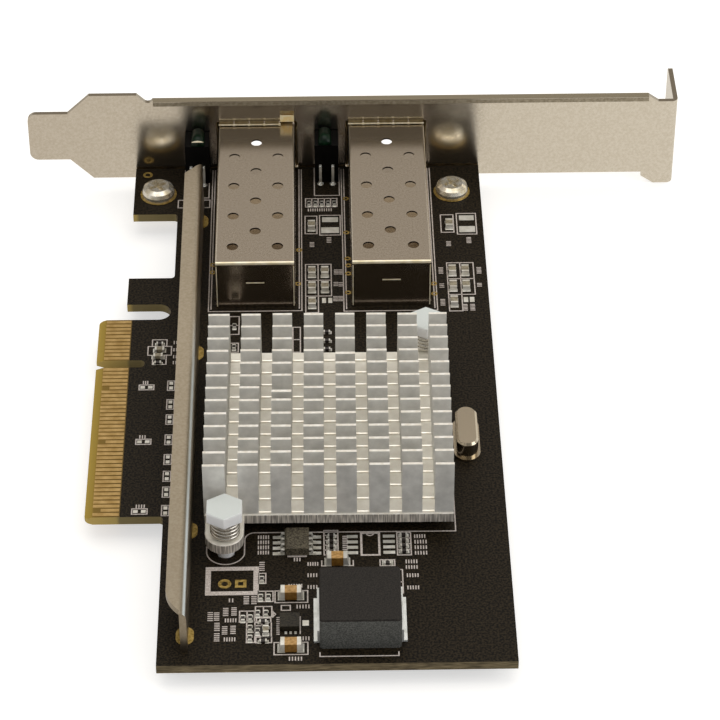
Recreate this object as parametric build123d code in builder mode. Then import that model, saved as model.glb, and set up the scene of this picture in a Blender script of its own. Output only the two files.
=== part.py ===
from build123d import *
import math
import os

# Dual port network interface card, in millimetres.
# X runs from the contact edge across the card, Y from the key notch towards the bracket,
# and Z up from the component side of the board.

# Circuit board
board_thickness = 1.57
card_height = 68.5
board_near_y = -73.2
body_edge_x = 12.78
shoulder_edge_x = 4.65
shoulder_near_y = 43.05
hook_near_y = 16.44
hook_far_y = 24.0
slot_end_x = 12.4
inner_corner_radius = 0.7
finger_near_y = -39.15
finger_far_y = 12.15
finger_corner_radius = 0.8
key_width = 1.9
key_end_x = 8.4
bevel_length = 1.3
bevel_depth = 0.45
lead_clearance = 0.1
small_hole_sides = 8

# Edge contacts, counted away from the key notch on each side of it
contact_pitch = 1.0
contact_width = 0.7
contact_start_x = 1.3
contact_end_x = 5.6
contact_thickness = 0.05
contact_key_offset = 1.5
contacts_beyond_key = 11
contacts_before_key = 38
short_contacts = (17, 31, 48)
short_contact_start_x = 2.6

# Bracket
bracket_thickness = 0.86
bracket_gap = 0.35
bracket_length = 120.02
bracket_width = 18.42
bracket_low_z = -2.15
tab_end_x = -14.9
tab_low_z = 2.1
tab_width = 10.19
tab_neck_x = -7.5
tab_corner_radius = 1.6
plate_start_x = -3.35
ear_start_from_end = 6.02
ear_step = 0.9
ear_full_from_end = 3.62
flange_drop = 2.54
flange_depth = 11.43
flange_bend_radius = 1.2
flange_corner_radius = 0.8
flange_notch_width = 4.42
flange_notch_depth = 5.0
flange_notch_from_plate = 6.35
relief_radius = 0.95
relief_depth = 1.67
lip_start_x = 8.4
lip_end_from_end = 5.52
lip_top_z = 15.1
lip_reach = 0.6
lip_bend_radius = 1.0
board_tab_width = 8.0
board_tab_past_screw = 4.0
cutout_gap = 0.5
cutout_corner_radius = 0.6

# Bracket screws
screw_places = ((9.1, 49.3), (63.2, 49.3))
screw_radius = 1.45
screw_clearance = 0.15
screw_head_radius = 3.0
screw_head_height = 2.0
screw_rim_height = 0.8
screw_crown_radius = 2.75
screw_crown_height = 1.5
screw_top_radius = 2.0
screw_tip_chamfer = 0.3
screw_tip = 0.8
recess_width = 0.8
recess_length = 3.2
recess_depth = 1.1
recess_start = 0.1
recess_taper = 8

# SFP cages
cage_centres = {"left": 27.35, "right": 51.2}
cage_width = 14.0
cage_height = 9.8
cage_wall = 0.3
cage_bend_radius = 0.5
cage_rear_y = 15.3
cage_length = 48.8
rear_flap_inset = 0.45
rear_slit_width = 3.5
rear_slit_height = 0.4
rear_slit_z = 5.5
cage_floor_start = 11.0
vent_radius = 1.0
vent_pitch = 9.0
vent_rows = 4
vent_first_pair = 4.8
vent_side_offset = 3.95
latch_hole_width = 3.2
latch_hole_length = 2.6
latch_hole_from_front = 4.5
cage_pin_width = 0.8
cage_pin_tip = 0.9
cage_pin_distances = (2.4, 9.0, 19.5, 26.5, 36.0)

# Spring collars round the cage mouths
collar_thickness = 0.14
collar_band_start = 3.1
collar_band_end = 0.6
finger_tip_from_front = 7.2
lower_finger_tip_from_front = 6.4
finger_rise = 0.28
finger_pitch = 2.8
finger_width = 2.4
fingers_across = 5
fingers_down = 3

# SFP sockets inside the cages
socket_width = 11.9
socket_depth = 8.0
socket_height = 6.2
socket_from_rear = 1.2
socket_slot_width = 9.4
socket_slot_height = 1.7
socket_slot_depth = 5.0
socket_slot_z = 3.5
socket_contact_count = 10
socket_contact_pitch = 0.8
socket_contact_width = 0.4
socket_contact_thickness = 0.2
socket_contact_length = 4.4

# Controller chip and thermal pad
chip_centre = (39.76, -22.9)
chip_size = 25.0
chip_substrate_height = 1.2
chip_lid_size = 21.0
chip_height = 2.0
pad_size = 18.0
pad_thickness = 0.2

# Heat sink
sink_width = 40.0
sink_depth = 41.2
sink_base_thickness = 1.8
fin_height = 10.2
fin_thickness = 0.65
fin_pitch = 3.19
fin_front_inset = 0.25
channel_width = 2.0
channel_pitch = 5.24
channel_count = 7
channel_centre_shift = 0.27
bent_fins = ((2, 6, 0.8), (4, 9, 0.7))
ear_radius = 3.1

# Heat sink bolts, springs and nuts
near_bolt_inset = 3.34
near_bolt_overhang = 4.1
far_bolt_inset = 3.06
far_bolt_overhang = 1.8
bolt_radius = 1.4
bolt_clearance = 0.2
bolt_head_across_flats = 5.6
bolt_head_height = 2.0
bolt_head_z = 7.7
bolt_tip = 0.4
nut_across_flats = 5.5
nut_height = 2.2
nut_clearance = 0.05
spring_wire_radius = 0.26
spring_end_gap = 0.05
spring_coil_radius = 1.95
spring_turns = 3.75
spring_points_per_turn = 12

# Stiffener bar
stiffener_thickness = 1.1
stiffener_sink_gap = 2.16
stiffener_width = 3.25
stiffener_height = 8.2
stiffener_near_y = -70.2
stiffener_far_y = 48.1
stiffener_bend_radius = 1.3
stiffener_point_length = 3.5
stiffener_web_far_y = 45.5
stiffener_nose_start_y = -65.2
stiffener_nose_end_y = -69.4
stiffener_tab_places = (40.3, 2.7, -42.6, -66.7)
stiffener_tab_width = 1.8
stiffener_tab_tip = 0.7

# Crystal
crystal_sink_gap = 0.79
crystal_y = -21.3
crystal_flange_length = 10.9
crystal_flange_width = 4.4
crystal_flange_height = 0.5
crystal_length = 10.0
crystal_width = 3.6
crystal_height = 3.5
crystal_lead_spacing = 4.88
crystal_lead_radius = 0.22
crystal_lead_tip = 1.0

# Inductor
inductor_centre = (44.3, -63.8)
inductor_width = 12.7
inductor_depth = 12.2
inductor_height = 5.9
inductor_corner_chamfer = 0.4
terminal_thickness = 0.35
terminal_length = 9.6
terminal_height = 2.6
terminal_foot = 0.9

# Flash memory chip
flash_centre = (34.45, -46.4)
flash_width = 3.9
flash_length = 4.95
flash_height = 1.6
flash_standoff = 0.12
lead_pitch = 1.27
lead_width = 0.42
lead_thickness = 0.2
lead_span = 6.1
lead_foot = 0.6
leads_per_side = 4

# Power controller chip
power_chip_centre = (33.3, -64.25)
power_chip_size = 3.1
power_chip_height = 0.9

# Status lamps
lamp_centres = {"left": 16.3, "right": 40.15}
lamp_width = 4.4
lamp_depth = 4.9
lamp_height = 8.2
lamp_gap = 0.2
lamp_levels = (2.4, 6.0)
lens_radius = 1.3
lens_clearance = 0.3
lens_reach = 1.2
lens_collar = 0.6
lamp_lead_width = 0.5
lamp_lead_spacing = 2.3
lamp_lead_gap = 0.55
lamp_lead_top = 3.9
lamp_lead_tip = 1.0

# Two pin header footprint
header_place = (24.3, -55.1)
header_pitch = 2.54
header_hole_radius = 0.5

# Ceramic capacitors and chip resistors: length, width, height of each size
end_share = 0.2
end_swell = 0.03
large_capacitor = (3.2, 1.7, 1.6)
large_capacitor_places = ((33.5, -58.1), (33.5, -69.7), (40.9, -50.4))
chip_capacitor = (2.0, 1.25, 0.85)
capacitor_rows = (38.7, 24.9, 20.45, 15.95)
capacitor_columns = (37.25, 62.3)
capacitor_column_step = 2.3
paired_rows = (24.9, 20.45)
small_chip = (1.1, 0.55, 0.4)
terminator_row = (36.85, 45.6)
terminator_pitch = 1.16
terminator_count = 5
ladder_columns = (40.0, 51.6)
ladder_top_y = -44.4
ladder_count = 4
crosswise_chips = ((10.8, 5.2), (10.6, 0.0), (48.9, -51.0), (29.15, -63.95), (29.2, -68.25),
                   (39.75, 7.9), (39.75, 5.5), (39.75, 3.2))
lengthwise_chips = ((26.0, -63.2), (27.15, -63.1), (28.3, -62.1), (29.6, -62.1), (27.15, -65.4),
                    (27.15, -67.6), (28.3, -66.1), (28.75, -58.5), (29.95, -58.5), (28.9, -54.4),
                    (23.65, 9.8), (23.65, 4.0))
filter_chip = (1.6, 0.85, 0.6)
crosswise_filters = ((10.8, 3.5), (10.6, 1.7))
lengthwise_filters = ((29.6, -65.9),)

# Sizes that follow from those above
bracket_inner_y = 57.75
bracket_outer_y = bracket_inner_y + bracket_thickness
board_far_y = bracket_inner_y - bracket_gap
board_bottom_z = -board_thickness
bracket_high_z = bracket_low_z + bracket_width
relief_centre_x = lip_start_x - relief_radius
relief_centre_z = bracket_high_z - relief_depth + relief_radius
relief_tangent_x = relief_centre_x - relief_radius * math.sqrt(0.5)
relief_tangent_z = relief_centre_z - relief_radius * math.sqrt(0.5)
flange_outer_x = tab_end_x + bracket_length
ear_start_x = flange_outer_x - ear_start_from_end
ear_full_x = flange_outer_x - ear_full_from_end
lip_end_x = flange_outer_x - lip_end_from_end
flange_low_z = bracket_low_z - flange_drop
flange_high_z = flange_low_z + bracket_width
board_tab_low_z = board_bottom_z - bracket_thickness
cage_front_y = cage_rear_y + cage_length
cutout_width = cage_width + 2 * cutout_gap
cutout_height = cage_height + 2 * cutout_gap
chip_centre_x, chip_centre_y = chip_centre
pad_top_z = chip_height + pad_thickness
sink_top_z = pad_top_z + sink_base_thickness
sink_near_y = chip_centre_y - sink_depth / 2
sink_far_y = sink_near_y + sink_depth
sink_left_x = chip_centre_x - sink_width / 2
sink_right_x = sink_left_x + sink_width
first_fin_y = sink_near_y + fin_front_inset
fin_rows = int((sink_depth - fin_front_inset - fin_thickness) / fin_pitch) + 1
bolt_places = ((sink_left_x + near_bolt_inset, sink_near_y - near_bolt_overhang),
               (sink_right_x - far_bolt_inset, sink_far_y + far_bolt_overhang))
nut_low_z = board_bottom_z - nut_height
stiffener_right_x = sink_left_x - stiffener_sink_gap
stiffener_left_x = stiffener_right_x - stiffener_width
web_centre_x = stiffener_right_x - stiffener_thickness / 2
lamp_far_y = bracket_inner_y - lamp_gap
lamp_lead_y = lamp_far_y - lamp_depth - lamp_lead_gap
header_holes = [(header_place[0] + side * header_pitch / 2, header_place[1]) for side in (-1, 1)]
crystal_centre = (sink_right_x + crystal_sink_gap + crystal_flange_width / 2, crystal_y)
crystal_leads = [
    (crystal_centre[0], crystal_centre[1] + side * crystal_lead_spacing / 2) for side in (-1, 1)
]
cage_pins = [
    (centre + side * (cage_width - cage_wall) / 2, cage_rear_y + distance)
    for centre in cage_centres.values()
    for side in (-1, 1)
    for distance in cage_pin_distances
]
lamp_leads = [
    (centre + side * lamp_lead_spacing / 2, lamp_lead_y)
    for centre in lamp_centres.values()
    for side in (-1, 1)
]
capacitor_places = [(x, y) for x in capacitor_columns for y in capacitor_rows]
capacitor_places += [(x + capacitor_column_step, y) for x in capacitor_columns for y in paired_rows]
ladder_places = [
    (x, ladder_top_y - row * lead_pitch) for x in ladder_columns for row in range(ladder_count)
]
terminator_places = [
    (terminator_row[0] + step * terminator_pitch, terminator_row[1])
    for step in range(terminator_count)
]

os.makedirs("parts", exist_ok=True)


def rectangle_between(x_low, x_high, y_low, y_high, mode=Mode.ADD):
    """A sketch rectangle from its low corner to its high corner."""
    with Locations(((x_low + x_high) / 2, (y_low + y_high) / 2)):
        Rectangle(x_high - x_low, y_high - y_low, mode=mode)


def box_between(low, high, mode=Mode.ADD):
    """A solid box from its low corner to its high corner."""
    size = [b - a for a, b in zip(low, high)]
    with Locations(tuple((a + b) / 2 for a, b in zip(low, high))):
        Box(*size, mode=mode)


def chip_bodies(places, size, turn):
    """Ceramic bodies between two end caps, one at each place."""
    length, width, height = size
    with Locations(*[Location((x, y, 0), (0, 0, turn)) for x, y in places]):
        Box(length * (1 - 2 * end_share), width, height,
            align=(Align.CENTER, Align.CENTER, Align.MIN))


def chip_ends(places, size, turn):
    """The two metal end caps of each chip."""
    length, width, height = size
    cap_length = length * end_share
    cap_centre = (length - cap_length) / 2
    with Locations(*[Location((x, y, 0), (0, 0, turn)) for x, y in places]):
        with Locations((-cap_centre, 0, 0), (cap_centre, 0, 0)):
            Box(cap_length, width + 2 * end_swell, height + end_swell,
                align=(Align.CENTER, Align.CENTER, Align.MIN))


# Circuit board: one laminate with its contact tongue, retention hook and drilled holes
with BuildPart() as circuit_board:
    with BuildSketch(Plane.XY.offset(board_bottom_z)):
        rectangle_between(body_edge_x, card_height, board_near_y, board_far_y)
        rectangle_between(0, body_edge_x, finger_near_y, finger_far_y)
        rectangle_between(shoulder_edge_x, body_edge_x, finger_far_y, hook_far_y)
        rectangle_between(shoulder_edge_x, body_edge_x, shoulder_near_y, board_far_y)
        slot_radius = (hook_near_y - finger_far_y) / 2
        slot_centre = (slot_end_x - slot_radius, (hook_near_y + finger_far_y) / 2)
        rectangle_between(0, slot_centre[0], finger_far_y, hook_near_y, mode=Mode.SUBTRACT)
        with Locations(slot_centre):
            Circle(slot_radius, mode=Mode.SUBTRACT)
        rectangle_between(0, key_end_x - key_width / 2, -key_width / 2, key_width / 2,
                          mode=Mode.SUBTRACT)
        with Locations((key_end_x - key_width / 2, 0)):
            Circle(key_width / 2, mode=Mode.SUBTRACT)
        with Locations(*screw_places):
            Circle(screw_radius + screw_clearance, mode=Mode.SUBTRACT)
        with Locations(*bolt_places):
            Circle(bolt_radius + bolt_clearance, mode=Mode.SUBTRACT)
        with Locations(*[(web_centre_x, y) for y in stiffener_tab_places]):
            SlotOverall(stiffener_tab_width + stiffener_thickness, stiffener_thickness * 1.5,
                        rotation=90, mode=Mode.SUBTRACT)
        with Locations(*cage_pins):
            RegularPolygon(cage_pin_width / 2 + lead_clearance, small_hole_sides,
                           mode=Mode.SUBTRACT)
        with Locations(*lamp_leads):
            RegularPolygon(lamp_lead_width * 0.75 + lead_clearance, small_hole_sides,
                           mode=Mode.SUBTRACT)
        with Locations(*crystal_leads):
            RegularPolygon(crystal_lead_radius + lead_clearance, small_hole_sides,
                           mode=Mode.SUBTRACT)
        with Locations(*header_holes):
            RegularPolygon(header_hole_radius, 12, mode=Mode.SUBTRACT)
    extrude(amount=board_thickness)
    upright = circuit_board.edges().filter_by(Axis.Z)
    notch_corners = upright.filter_by(
        lambda edge: abs(edge.center().X - body_edge_x) < 0.01 and edge.center().Y > board_near_y + 1
    )
    fillet(notch_corners, inner_corner_radius)
    upright = circuit_board.edges().filter_by(Axis.Z)
    tongue_corners = upright.filter_by(
        lambda edge: abs(edge.center().X) < 0.01 and abs(edge.center().Y) > key_width
    )
    fillet(tongue_corners, finger_corner_radius)
    with BuildSketch(Plane.XZ.offset(-finger_far_y)):
        with BuildLine():
            Polyline((0, 0), (bevel_length, 0), (0, -bevel_depth), close=True)
        make_face()
        with BuildLine():
            Polyline((0, board_bottom_z), (bevel_length, board_bottom_z),
                     (0, board_bottom_z + bevel_depth), close=True)
        make_face()
    extrude(amount=finger_far_y - finger_near_y, mode=Mode.SUBTRACT)
circuit_board.part.label = "circuit_board"
export_step(circuit_board.part, "parts/circuit_board.step")

# Edge contacts: gold strips on both faces, the present detect strips shorter than the rest
contact_ys = [contact_key_offset + step * contact_pitch for step in range(contacts_beyond_key)]
contact_ys.reverse()
contact_ys += [-contact_key_offset - step * contact_pitch for step in range(contacts_before_key)]


def contact_strips(base_z, shortened):
    """One row of contact strips standing on the given level."""
    for number, y in enumerate(contact_ys, start=1):
        start_x = short_contact_start_x if number in shortened else contact_start_x
        box_between((start_x, y - contact_width / 2, base_z),
                    (contact_end_x, y + contact_width / 2, base_z + contact_thickness))


with BuildPart() as component_side_contacts:
    contact_strips(0, short_contacts)
component_side_contacts.part.label = "component_side_contacts"
export_step(component_side_contacts.part, "parts/component_side_contacts.step")

with BuildPart() as solder_side_contacts:
    contact_strips(board_bottom_z - contact_thickness, (1,))
solder_side_contacts.part.label = "solder_side_contacts"
export_step(solder_side_contacts.part, "parts/solder_side_contacts.step")

# Bracket: one folded steel sheet with a slot tab, a screw flange, a stiffening lip,
# two tabs under the board and the openings for the cages and lamps
with BuildPart() as bracket:
    with BuildSketch(Plane.XZ.offset(-bracket_inner_y)):
        with BuildLine():
            Polyline(
                (tab_end_x, tab_low_z),
                (tab_neck_x, tab_low_z),
                (plate_start_x, bracket_low_z),
                (ear_start_x, bracket_low_z),
                (ear_start_x, bracket_low_z - ear_step),
                (ear_full_x, flange_low_z),
                (flange_outer_x, flange_low_z),
                (flange_outer_x, flange_high_z),
                (ear_full_x, flange_high_z),
                (lip_end_x, lip_top_z),
                (lip_end_x, lip_top_z - lip_bend_radius),
                (lip_start_x, lip_top_z - lip_bend_radius),
                (lip_start_x, lip_top_z),
                (relief_centre_x, lip_top_z),
                (relief_centre_x, bracket_high_z),
                (plate_start_x, bracket_high_z),
                (tab_neck_x, tab_low_z + tab_width),
                (tab_end_x, tab_low_z + tab_width),
                close=True,
            )
        make_face()
        with Locations((relief_centre_x, relief_centre_z)):
            Circle(relief_radius, mode=Mode.SUBTRACT)
        with BuildLine():
            Polyline(
                (relief_centre_x, relief_centre_z),
                (relief_tangent_x, relief_tangent_z),
                (relief_tangent_x - (bracket_high_z - relief_tangent_z), bracket_high_z),
                (relief_centre_x, bracket_high_z),
                close=True,
            )
        make_face(mode=Mode.SUBTRACT)
        for centre in cage_centres.values():
            with Locations((centre, cage_height / 2)):
                RectangleRounded(cutout_width, cutout_height, cutout_corner_radius,
                                 mode=Mode.SUBTRACT)
        with Locations(*[(x, z) for x in lamp_centres.values() for z in lamp_levels]):
            Circle(lens_radius + lens_clearance, mode=Mode.SUBTRACT)
    extrude(amount=-bracket_thickness)
    tab_corners = bracket.edges().filter_by(Axis.Y).filter_by(
        lambda edge: abs(edge.center().X - tab_end_x) < 0.01
    )
    fillet(tab_corners, tab_corner_radius)
    # Screw flange
    box_between((flange_outer_x - bracket_thickness, bracket_inner_y, flange_low_z),
                (flange_outer_x, bracket_inner_y + flange_depth, flange_high_z))
    flange_bend = bracket.edges().filter_by(Axis.Z).filter_by(
        lambda edge: abs(edge.center().X - flange_outer_x) < 0.01
        and abs(edge.center().Y - bracket_inner_y) < 0.01
    )
    fillet(flange_bend, flange_bend_radius)
    flange_corners = bracket.edges().filter_by(Axis.X).filter_by(
        lambda edge: abs(edge.center().Y - bracket_inner_y - flange_depth) < 0.01
    )
    fillet(flange_corners, flange_corner_radius)
    notch_radius = flange_notch_width / 2
    notch_y = bracket_inner_y + flange_notch_from_plate
    notch_centre_z = flange_low_z + flange_notch_depth - notch_radius
    with BuildSketch(Plane.YZ.offset(flange_outer_x)):
        rectangle_between(notch_y - notch_radius, notch_y + notch_radius,
                          flange_low_z, notch_centre_z)
        with Locations((notch_y, notch_centre_z)):
            Circle(notch_radius)
    extrude(amount=-bracket_thickness, mode=Mode.SUBTRACT)
    # Stiffening lip along the upper edge, folded in over the card
    bend_y = bracket_outer_y - lip_bend_radius
    bend_z = lip_top_z - lip_bend_radius
    inner_bend_radius = lip_bend_radius - bracket_thickness
    with BuildSketch(Plane.YZ.offset(lip_start_x)):
        with BuildLine():
            outer = RadiusArc((bracket_outer_y, bend_z), (bend_y, lip_top_z), -lip_bend_radius)
            Polyline(outer @ 1, (bracket_inner_y - lip_reach, lip_top_z),
                     (bracket_inner_y - lip_reach, lip_top_z - bracket_thickness),
                     (bend_y, lip_top_z - bracket_thickness))
            RadiusArc((bend_y, lip_top_z - bracket_thickness), (bracket_inner_y, bend_z),
                      inner_bend_radius)
            Line((bracket_inner_y, bend_z), (bracket_outer_y, bend_z))
        make_face()
    extrude(amount=lip_end_x - lip_start_x)
    # Tabs that the board is screwed down on
    for x, y in screw_places:
        with BuildSketch(Plane.XY.offset(board_tab_low_z)):
            rectangle_between(x - board_tab_width / 2, x + board_tab_width / 2,
                              y - board_tab_past_screw, bracket_outer_y)
            with Locations((x, y)):
                Circle(screw_radius + lead_clearance / 2, mode=Mode.SUBTRACT)
        extrude(amount=bracket_thickness)
bracket.part.label = "bracket"
export_step(bracket.part, "parts/bracket.step")

# Bracket screws: pan heads with a cross recess, threaded into the bracket's tabs
with BuildPart() as bracket_screws:
    tip_z = board_tab_low_z - screw_tip
    for x, y in screw_places:
        with BuildSketch(Plane.XZ.offset(-y)):
            with BuildLine():
                Polyline(
                    (x, screw_head_height),
                    (x, tip_z),
                    (x + screw_radius - screw_tip_chamfer, tip_z),
                    (x + screw_radius, tip_z + screw_tip_chamfer),
                    (x + screw_radius, 0),
                    (x + screw_head_radius, 0),
                    (x + screw_head_radius, screw_rim_height),
                    (x + screw_crown_radius, screw_crown_height),
                    (x + screw_top_radius, screw_head_height),
                    close=True,
                )
            make_face()
        revolve(axis=Axis((x, y, 0), (0, 0, 1)))
        with BuildSketch(Plane.XY.offset(screw_head_height + recess_start)):
            with Locations(Location((x, y, 0), (0, 0, 30))):
                Rectangle(recess_length, recess_width)
                Rectangle(recess_width, recess_length)
        extrude(amount=-recess_start - recess_depth, taper=recess_taper, mode=Mode.SUBTRACT)
bracket_screws.part.label = "bracket_screws"
export_step(bracket_screws.part, "parts/bracket_screws.step")

# SFP cages: folded sheet boxes, open at the front, with vents, solder pins and a latch hole
for side, centre in cage_centres.items():
    left_x = centre - cage_width / 2
    right_x = centre + cage_width / 2
    with BuildPart() as sfp_cage:
        with BuildSketch(Plane.XZ.offset(-cage_rear_y)):
            rectangle_between(left_x, right_x, 0, cage_height)
            rectangle_between(left_x + cage_wall, right_x - cage_wall,
                              cage_wall, cage_height - cage_wall, mode=Mode.SUBTRACT)
        extrude(amount=-cage_length)
        top_edges = sfp_cage.edges().filter_by(Axis.Y).group_by(Axis.Z)[-1]
        fillet(top_edges, cage_bend_radius)
        box_between((left_x + rear_flap_inset, cage_rear_y, 0),
                    (right_x - rear_flap_inset, cage_rear_y + cage_wall, cage_height))
        rear_fold = sfp_cage.edges().filter_by(Axis.X).filter_by(
            lambda edge: edge.center().Y < cage_rear_y + 0.01
            and edge.center().Z > cage_height - 0.01
            and edge.length > cage_width / 2
        )
        fillet(rear_fold, cage_wall * 0.9)
        box_between((centre - rear_slit_width / 2, cage_rear_y, rear_slit_z),
                    (centre + rear_slit_width / 2, cage_rear_y + cage_wall,
                     rear_slit_z + rear_slit_height), mode=Mode.SUBTRACT)
        box_between((left_x + cage_wall, cage_rear_y + cage_wall, 0),
                    (right_x - cage_wall, cage_rear_y + cage_floor_start, cage_wall),
                    mode=Mode.SUBTRACT)
        vents = []
        for row in range(vent_rows):
            pair_y = cage_rear_y + vent_first_pair + row * vent_pitch
            vents.append((centre - vent_side_offset, pair_y))
            vents.append((centre + vent_side_offset, pair_y))
            vents.append((centre, pair_y + vent_pitch / 2))
        with BuildSketch(Plane.XY.offset(cage_height)):
            with Locations(*vents):
                Circle(vent_radius)
        extrude(amount=-cage_wall, mode=Mode.SUBTRACT)
        latch_y = cage_front_y - latch_hole_from_front
        box_between((centre - latch_hole_width / 2, latch_y, 0),
                    (centre + latch_hole_width / 2, latch_y + latch_hole_length, cage_wall),
                    mode=Mode.SUBTRACT)
        for x, y in cage_pins:
            if left_x < x < right_x:
                box_between((x - cage_wall / 2, y - cage_pin_width / 2,
                             board_bottom_z - cage_pin_tip),
                            (x + cage_wall / 2, y + cage_pin_width / 2, 0))
    sfp_cage.part.label = f"sfp_cage_{side}"
    export_step(sfp_cage.part, f"parts/sfp_cage_{side}.step")

    # Spring collar: a band round the cage mouth whose fingers bow out against the bracket
    with BuildPart() as spring_collar:
        with BuildSketch(Plane.XZ.offset(-(cage_front_y - collar_band_start))):
            rectangle_between(left_x - collar_thickness, right_x + collar_thickness,
                              -collar_thickness, cage_height + collar_thickness)
            rectangle_between(left_x, right_x, 0, cage_height, mode=Mode.SUBTRACT)
        extrude(amount=-(collar_band_start - collar_band_end))
        root_y = cage_front_y - collar_band_start
        finger_starts_across = [
            centre + (step - (fingers_across - 1) / 2) * finger_pitch - finger_width / 2
            for step in range(fingers_across)
        ]
        finger_starts_down = [
            cage_height / 2 + (step - (fingers_down - 1) / 2) * finger_pitch - finger_width / 2
            for step in range(fingers_down)
        ]
        for base_z, out, reach in ((cage_height, 1, finger_tip_from_front),
                                   (0, -1, lower_finger_tip_from_front)):
            tip_y = cage_front_y - reach
            middle_y = (root_y + tip_y) / 2
            for start_x in finger_starts_across:
                with BuildSketch(Plane.YZ.offset(start_x)):
                    with BuildLine():
                        Polyline(
                            (root_y, base_z),
                            (middle_y, base_z + out * finger_rise),
                            (tip_y, base_z),
                            (tip_y, base_z + out * collar_thickness),
                            (middle_y, base_z + out * (finger_rise + collar_thickness)),
                            (root_y, base_z + out * collar_thickness),
                            close=True,
                        )
                    make_face()
                extrude(amount=finger_width)
        for base_x, out in ((left_x, -1), (right_x, 1)):
            tip_y = cage_front_y - finger_tip_from_front
            middle_y = (root_y + tip_y) / 2
            for start_z in finger_starts_down:
                with BuildSketch(Plane.XY.offset(start_z)):
                    with BuildLine():
                        Polyline(
                            (base_x, root_y),
                            (base_x + out * finger_rise, middle_y),
                            (base_x, tip_y),
                            (base_x + out * collar_thickness, tip_y),
                            (base_x + out * (finger_rise + collar_thickness), middle_y),
                            (base_x + out * collar_thickness, root_y),
                            close=True,
                        )
                    make_face()
                extrude(amount=finger_width)
    spring_collar.part.label = f"spring_collar_{side}"
    export_step(spring_collar.part, f"parts/spring_collar_{side}.step")

    # Socket inside the cage, with a slot for the module's edge card
    socket_near_y = cage_rear_y + socket_from_rear
    socket_far_y = socket_near_y + socket_depth
    slot_low_z = socket_slot_z - socket_slot_height / 2
    slot_high_z = socket_slot_z + socket_slot_height / 2
    with BuildPart() as sfp_socket:
        box_between((centre - socket_width / 2, socket_near_y, 0),
                    (centre + socket_width / 2, socket_far_y, socket_height))
        front_top = sfp_socket.edges().filter_by(Axis.X).sort_by(Axis.Y)[-2:].sort_by(Axis.Z)[-1]
        chamfer(front_top, 1.0)
        box_between((centre - socket_slot_width / 2, socket_far_y - socket_slot_depth, slot_low_z),
                    (centre + socket_slot_width / 2, socket_far_y, slot_high_z),
                    mode=Mode.SUBTRACT)
    sfp_socket.part.label = f"sfp_socket_{side}"
    export_step(sfp_socket.part, f"parts/sfp_socket_{side}.step")

    # Contact strips along the upper and lower wall of the socket's slot
    with BuildPart() as socket_contacts:
        for step in range(socket_contact_count):
            x = centre + (step - (socket_contact_count - 1) / 2) * socket_contact_pitch
            for low_z in (slot_low_z, slot_high_z - socket_contact_thickness):
                box_between((x - socket_contact_width / 2, socket_far_y - socket_slot_depth, low_z),
                            (x + socket_contact_width / 2,
                             socket_far_y - socket_slot_depth + socket_contact_length,
                             low_z + socket_contact_thickness))
    socket_contacts.part.label = f"socket_contacts_{side}"
    export_step(socket_contacts.part, f"parts/socket_contacts_{side}.step")

# Controller chip: a square substrate with a raised lid
with BuildPart() as controller_chip:
    with Locations((chip_centre_x, chip_centre_y, 0)):
        Box(chip_size, chip_size, chip_substrate_height,
            align=(Align.CENTER, Align.CENTER, Align.MIN))
        Box(chip_lid_size, chip_lid_size, chip_height,
            align=(Align.CENTER, Align.CENTER, Align.MIN))
controller_chip.part.label = "controller_chip"
export_step(controller_chip.part, "parts/controller_chip.step")

with BuildPart() as thermal_pad:
    with Locations((chip_centre_x, chip_centre_y, chip_height)):
        Box(pad_size, pad_size, pad_thickness, align=(Align.CENTER, Align.CENTER, Align.MIN))
thermal_pad.part.label = "thermal_pad"
export_step(thermal_pad.part, "parts/thermal_pad.step")

# Heat sink: an extruded comb sawn across into short fins, with an eared base.
# Two of the fins are knocked towards the near edge.
channel_xs = [
    chip_centre_x + channel_centre_shift + (step - (channel_count - 1) / 2) * channel_pitch
    for step in range(channel_count)
]
fin_ys = [first_fin_y + row * fin_pitch for row in range(fin_rows)]
column_lows = [sink_left_x] + [x + channel_width / 2 for x in channel_xs]
column_highs = [x - channel_width / 2 for x in channel_xs] + [sink_right_x]
with BuildPart() as heat_sink:
    with BuildSketch(Plane.XY.offset(pad_top_z)):
        with Locations((chip_centre_x, chip_centre_y)):
            Rectangle(sink_width, sink_depth)
        for (bolt_x, bolt_y), inward in zip(bolt_places, (1, -1)):
            rectangle_between(bolt_x - ear_radius, bolt_x + ear_radius,
                              min(bolt_y, bolt_y + inward * 2 * ear_radius),
                              max(bolt_y, bolt_y + inward * 2 * ear_radius))
            with Locations((bolt_x, bolt_y)):
                Circle(ear_radius)
                Circle(bolt_radius + bolt_clearance, mode=Mode.SUBTRACT)
    extrude(amount=sink_base_thickness)
    with BuildSketch(Plane.XY.offset(sink_top_z)):
        for y in fin_ys:
            rectangle_between(sink_left_x, sink_right_x, y, y + fin_thickness)
        for x in channel_xs:
            rectangle_between(x - channel_width / 2, x + channel_width / 2,
                              sink_near_y, sink_far_y, mode=Mode.SUBTRACT)
        for column, row, lean in bent_fins:
            rectangle_between(column_lows[column], column_highs[column], fin_ys[row],
                              fin_ys[row] + fin_thickness, mode=Mode.SUBTRACT)
    extrude(amount=fin_height)
    for column, row, lean in bent_fins:
        with BuildSketch(Plane.YZ.offset(column_lows[column])):
            with BuildLine():
                Polyline(
                    (fin_ys[row], sink_top_z),
                    (fin_ys[row] + fin_thickness, sink_top_z),
                    (fin_ys[row] + fin_thickness - lean, sink_top_z + fin_height),
                    (fin_ys[row] - lean, sink_top_z + fin_height),
                    close=True,
                )
            make_face()
        extrude(amount=column_highs[column] - column_lows[column])
heat_sink.part.label = "heat_sink"
export_step(heat_sink.part, "parts/heat_sink.step")

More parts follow.
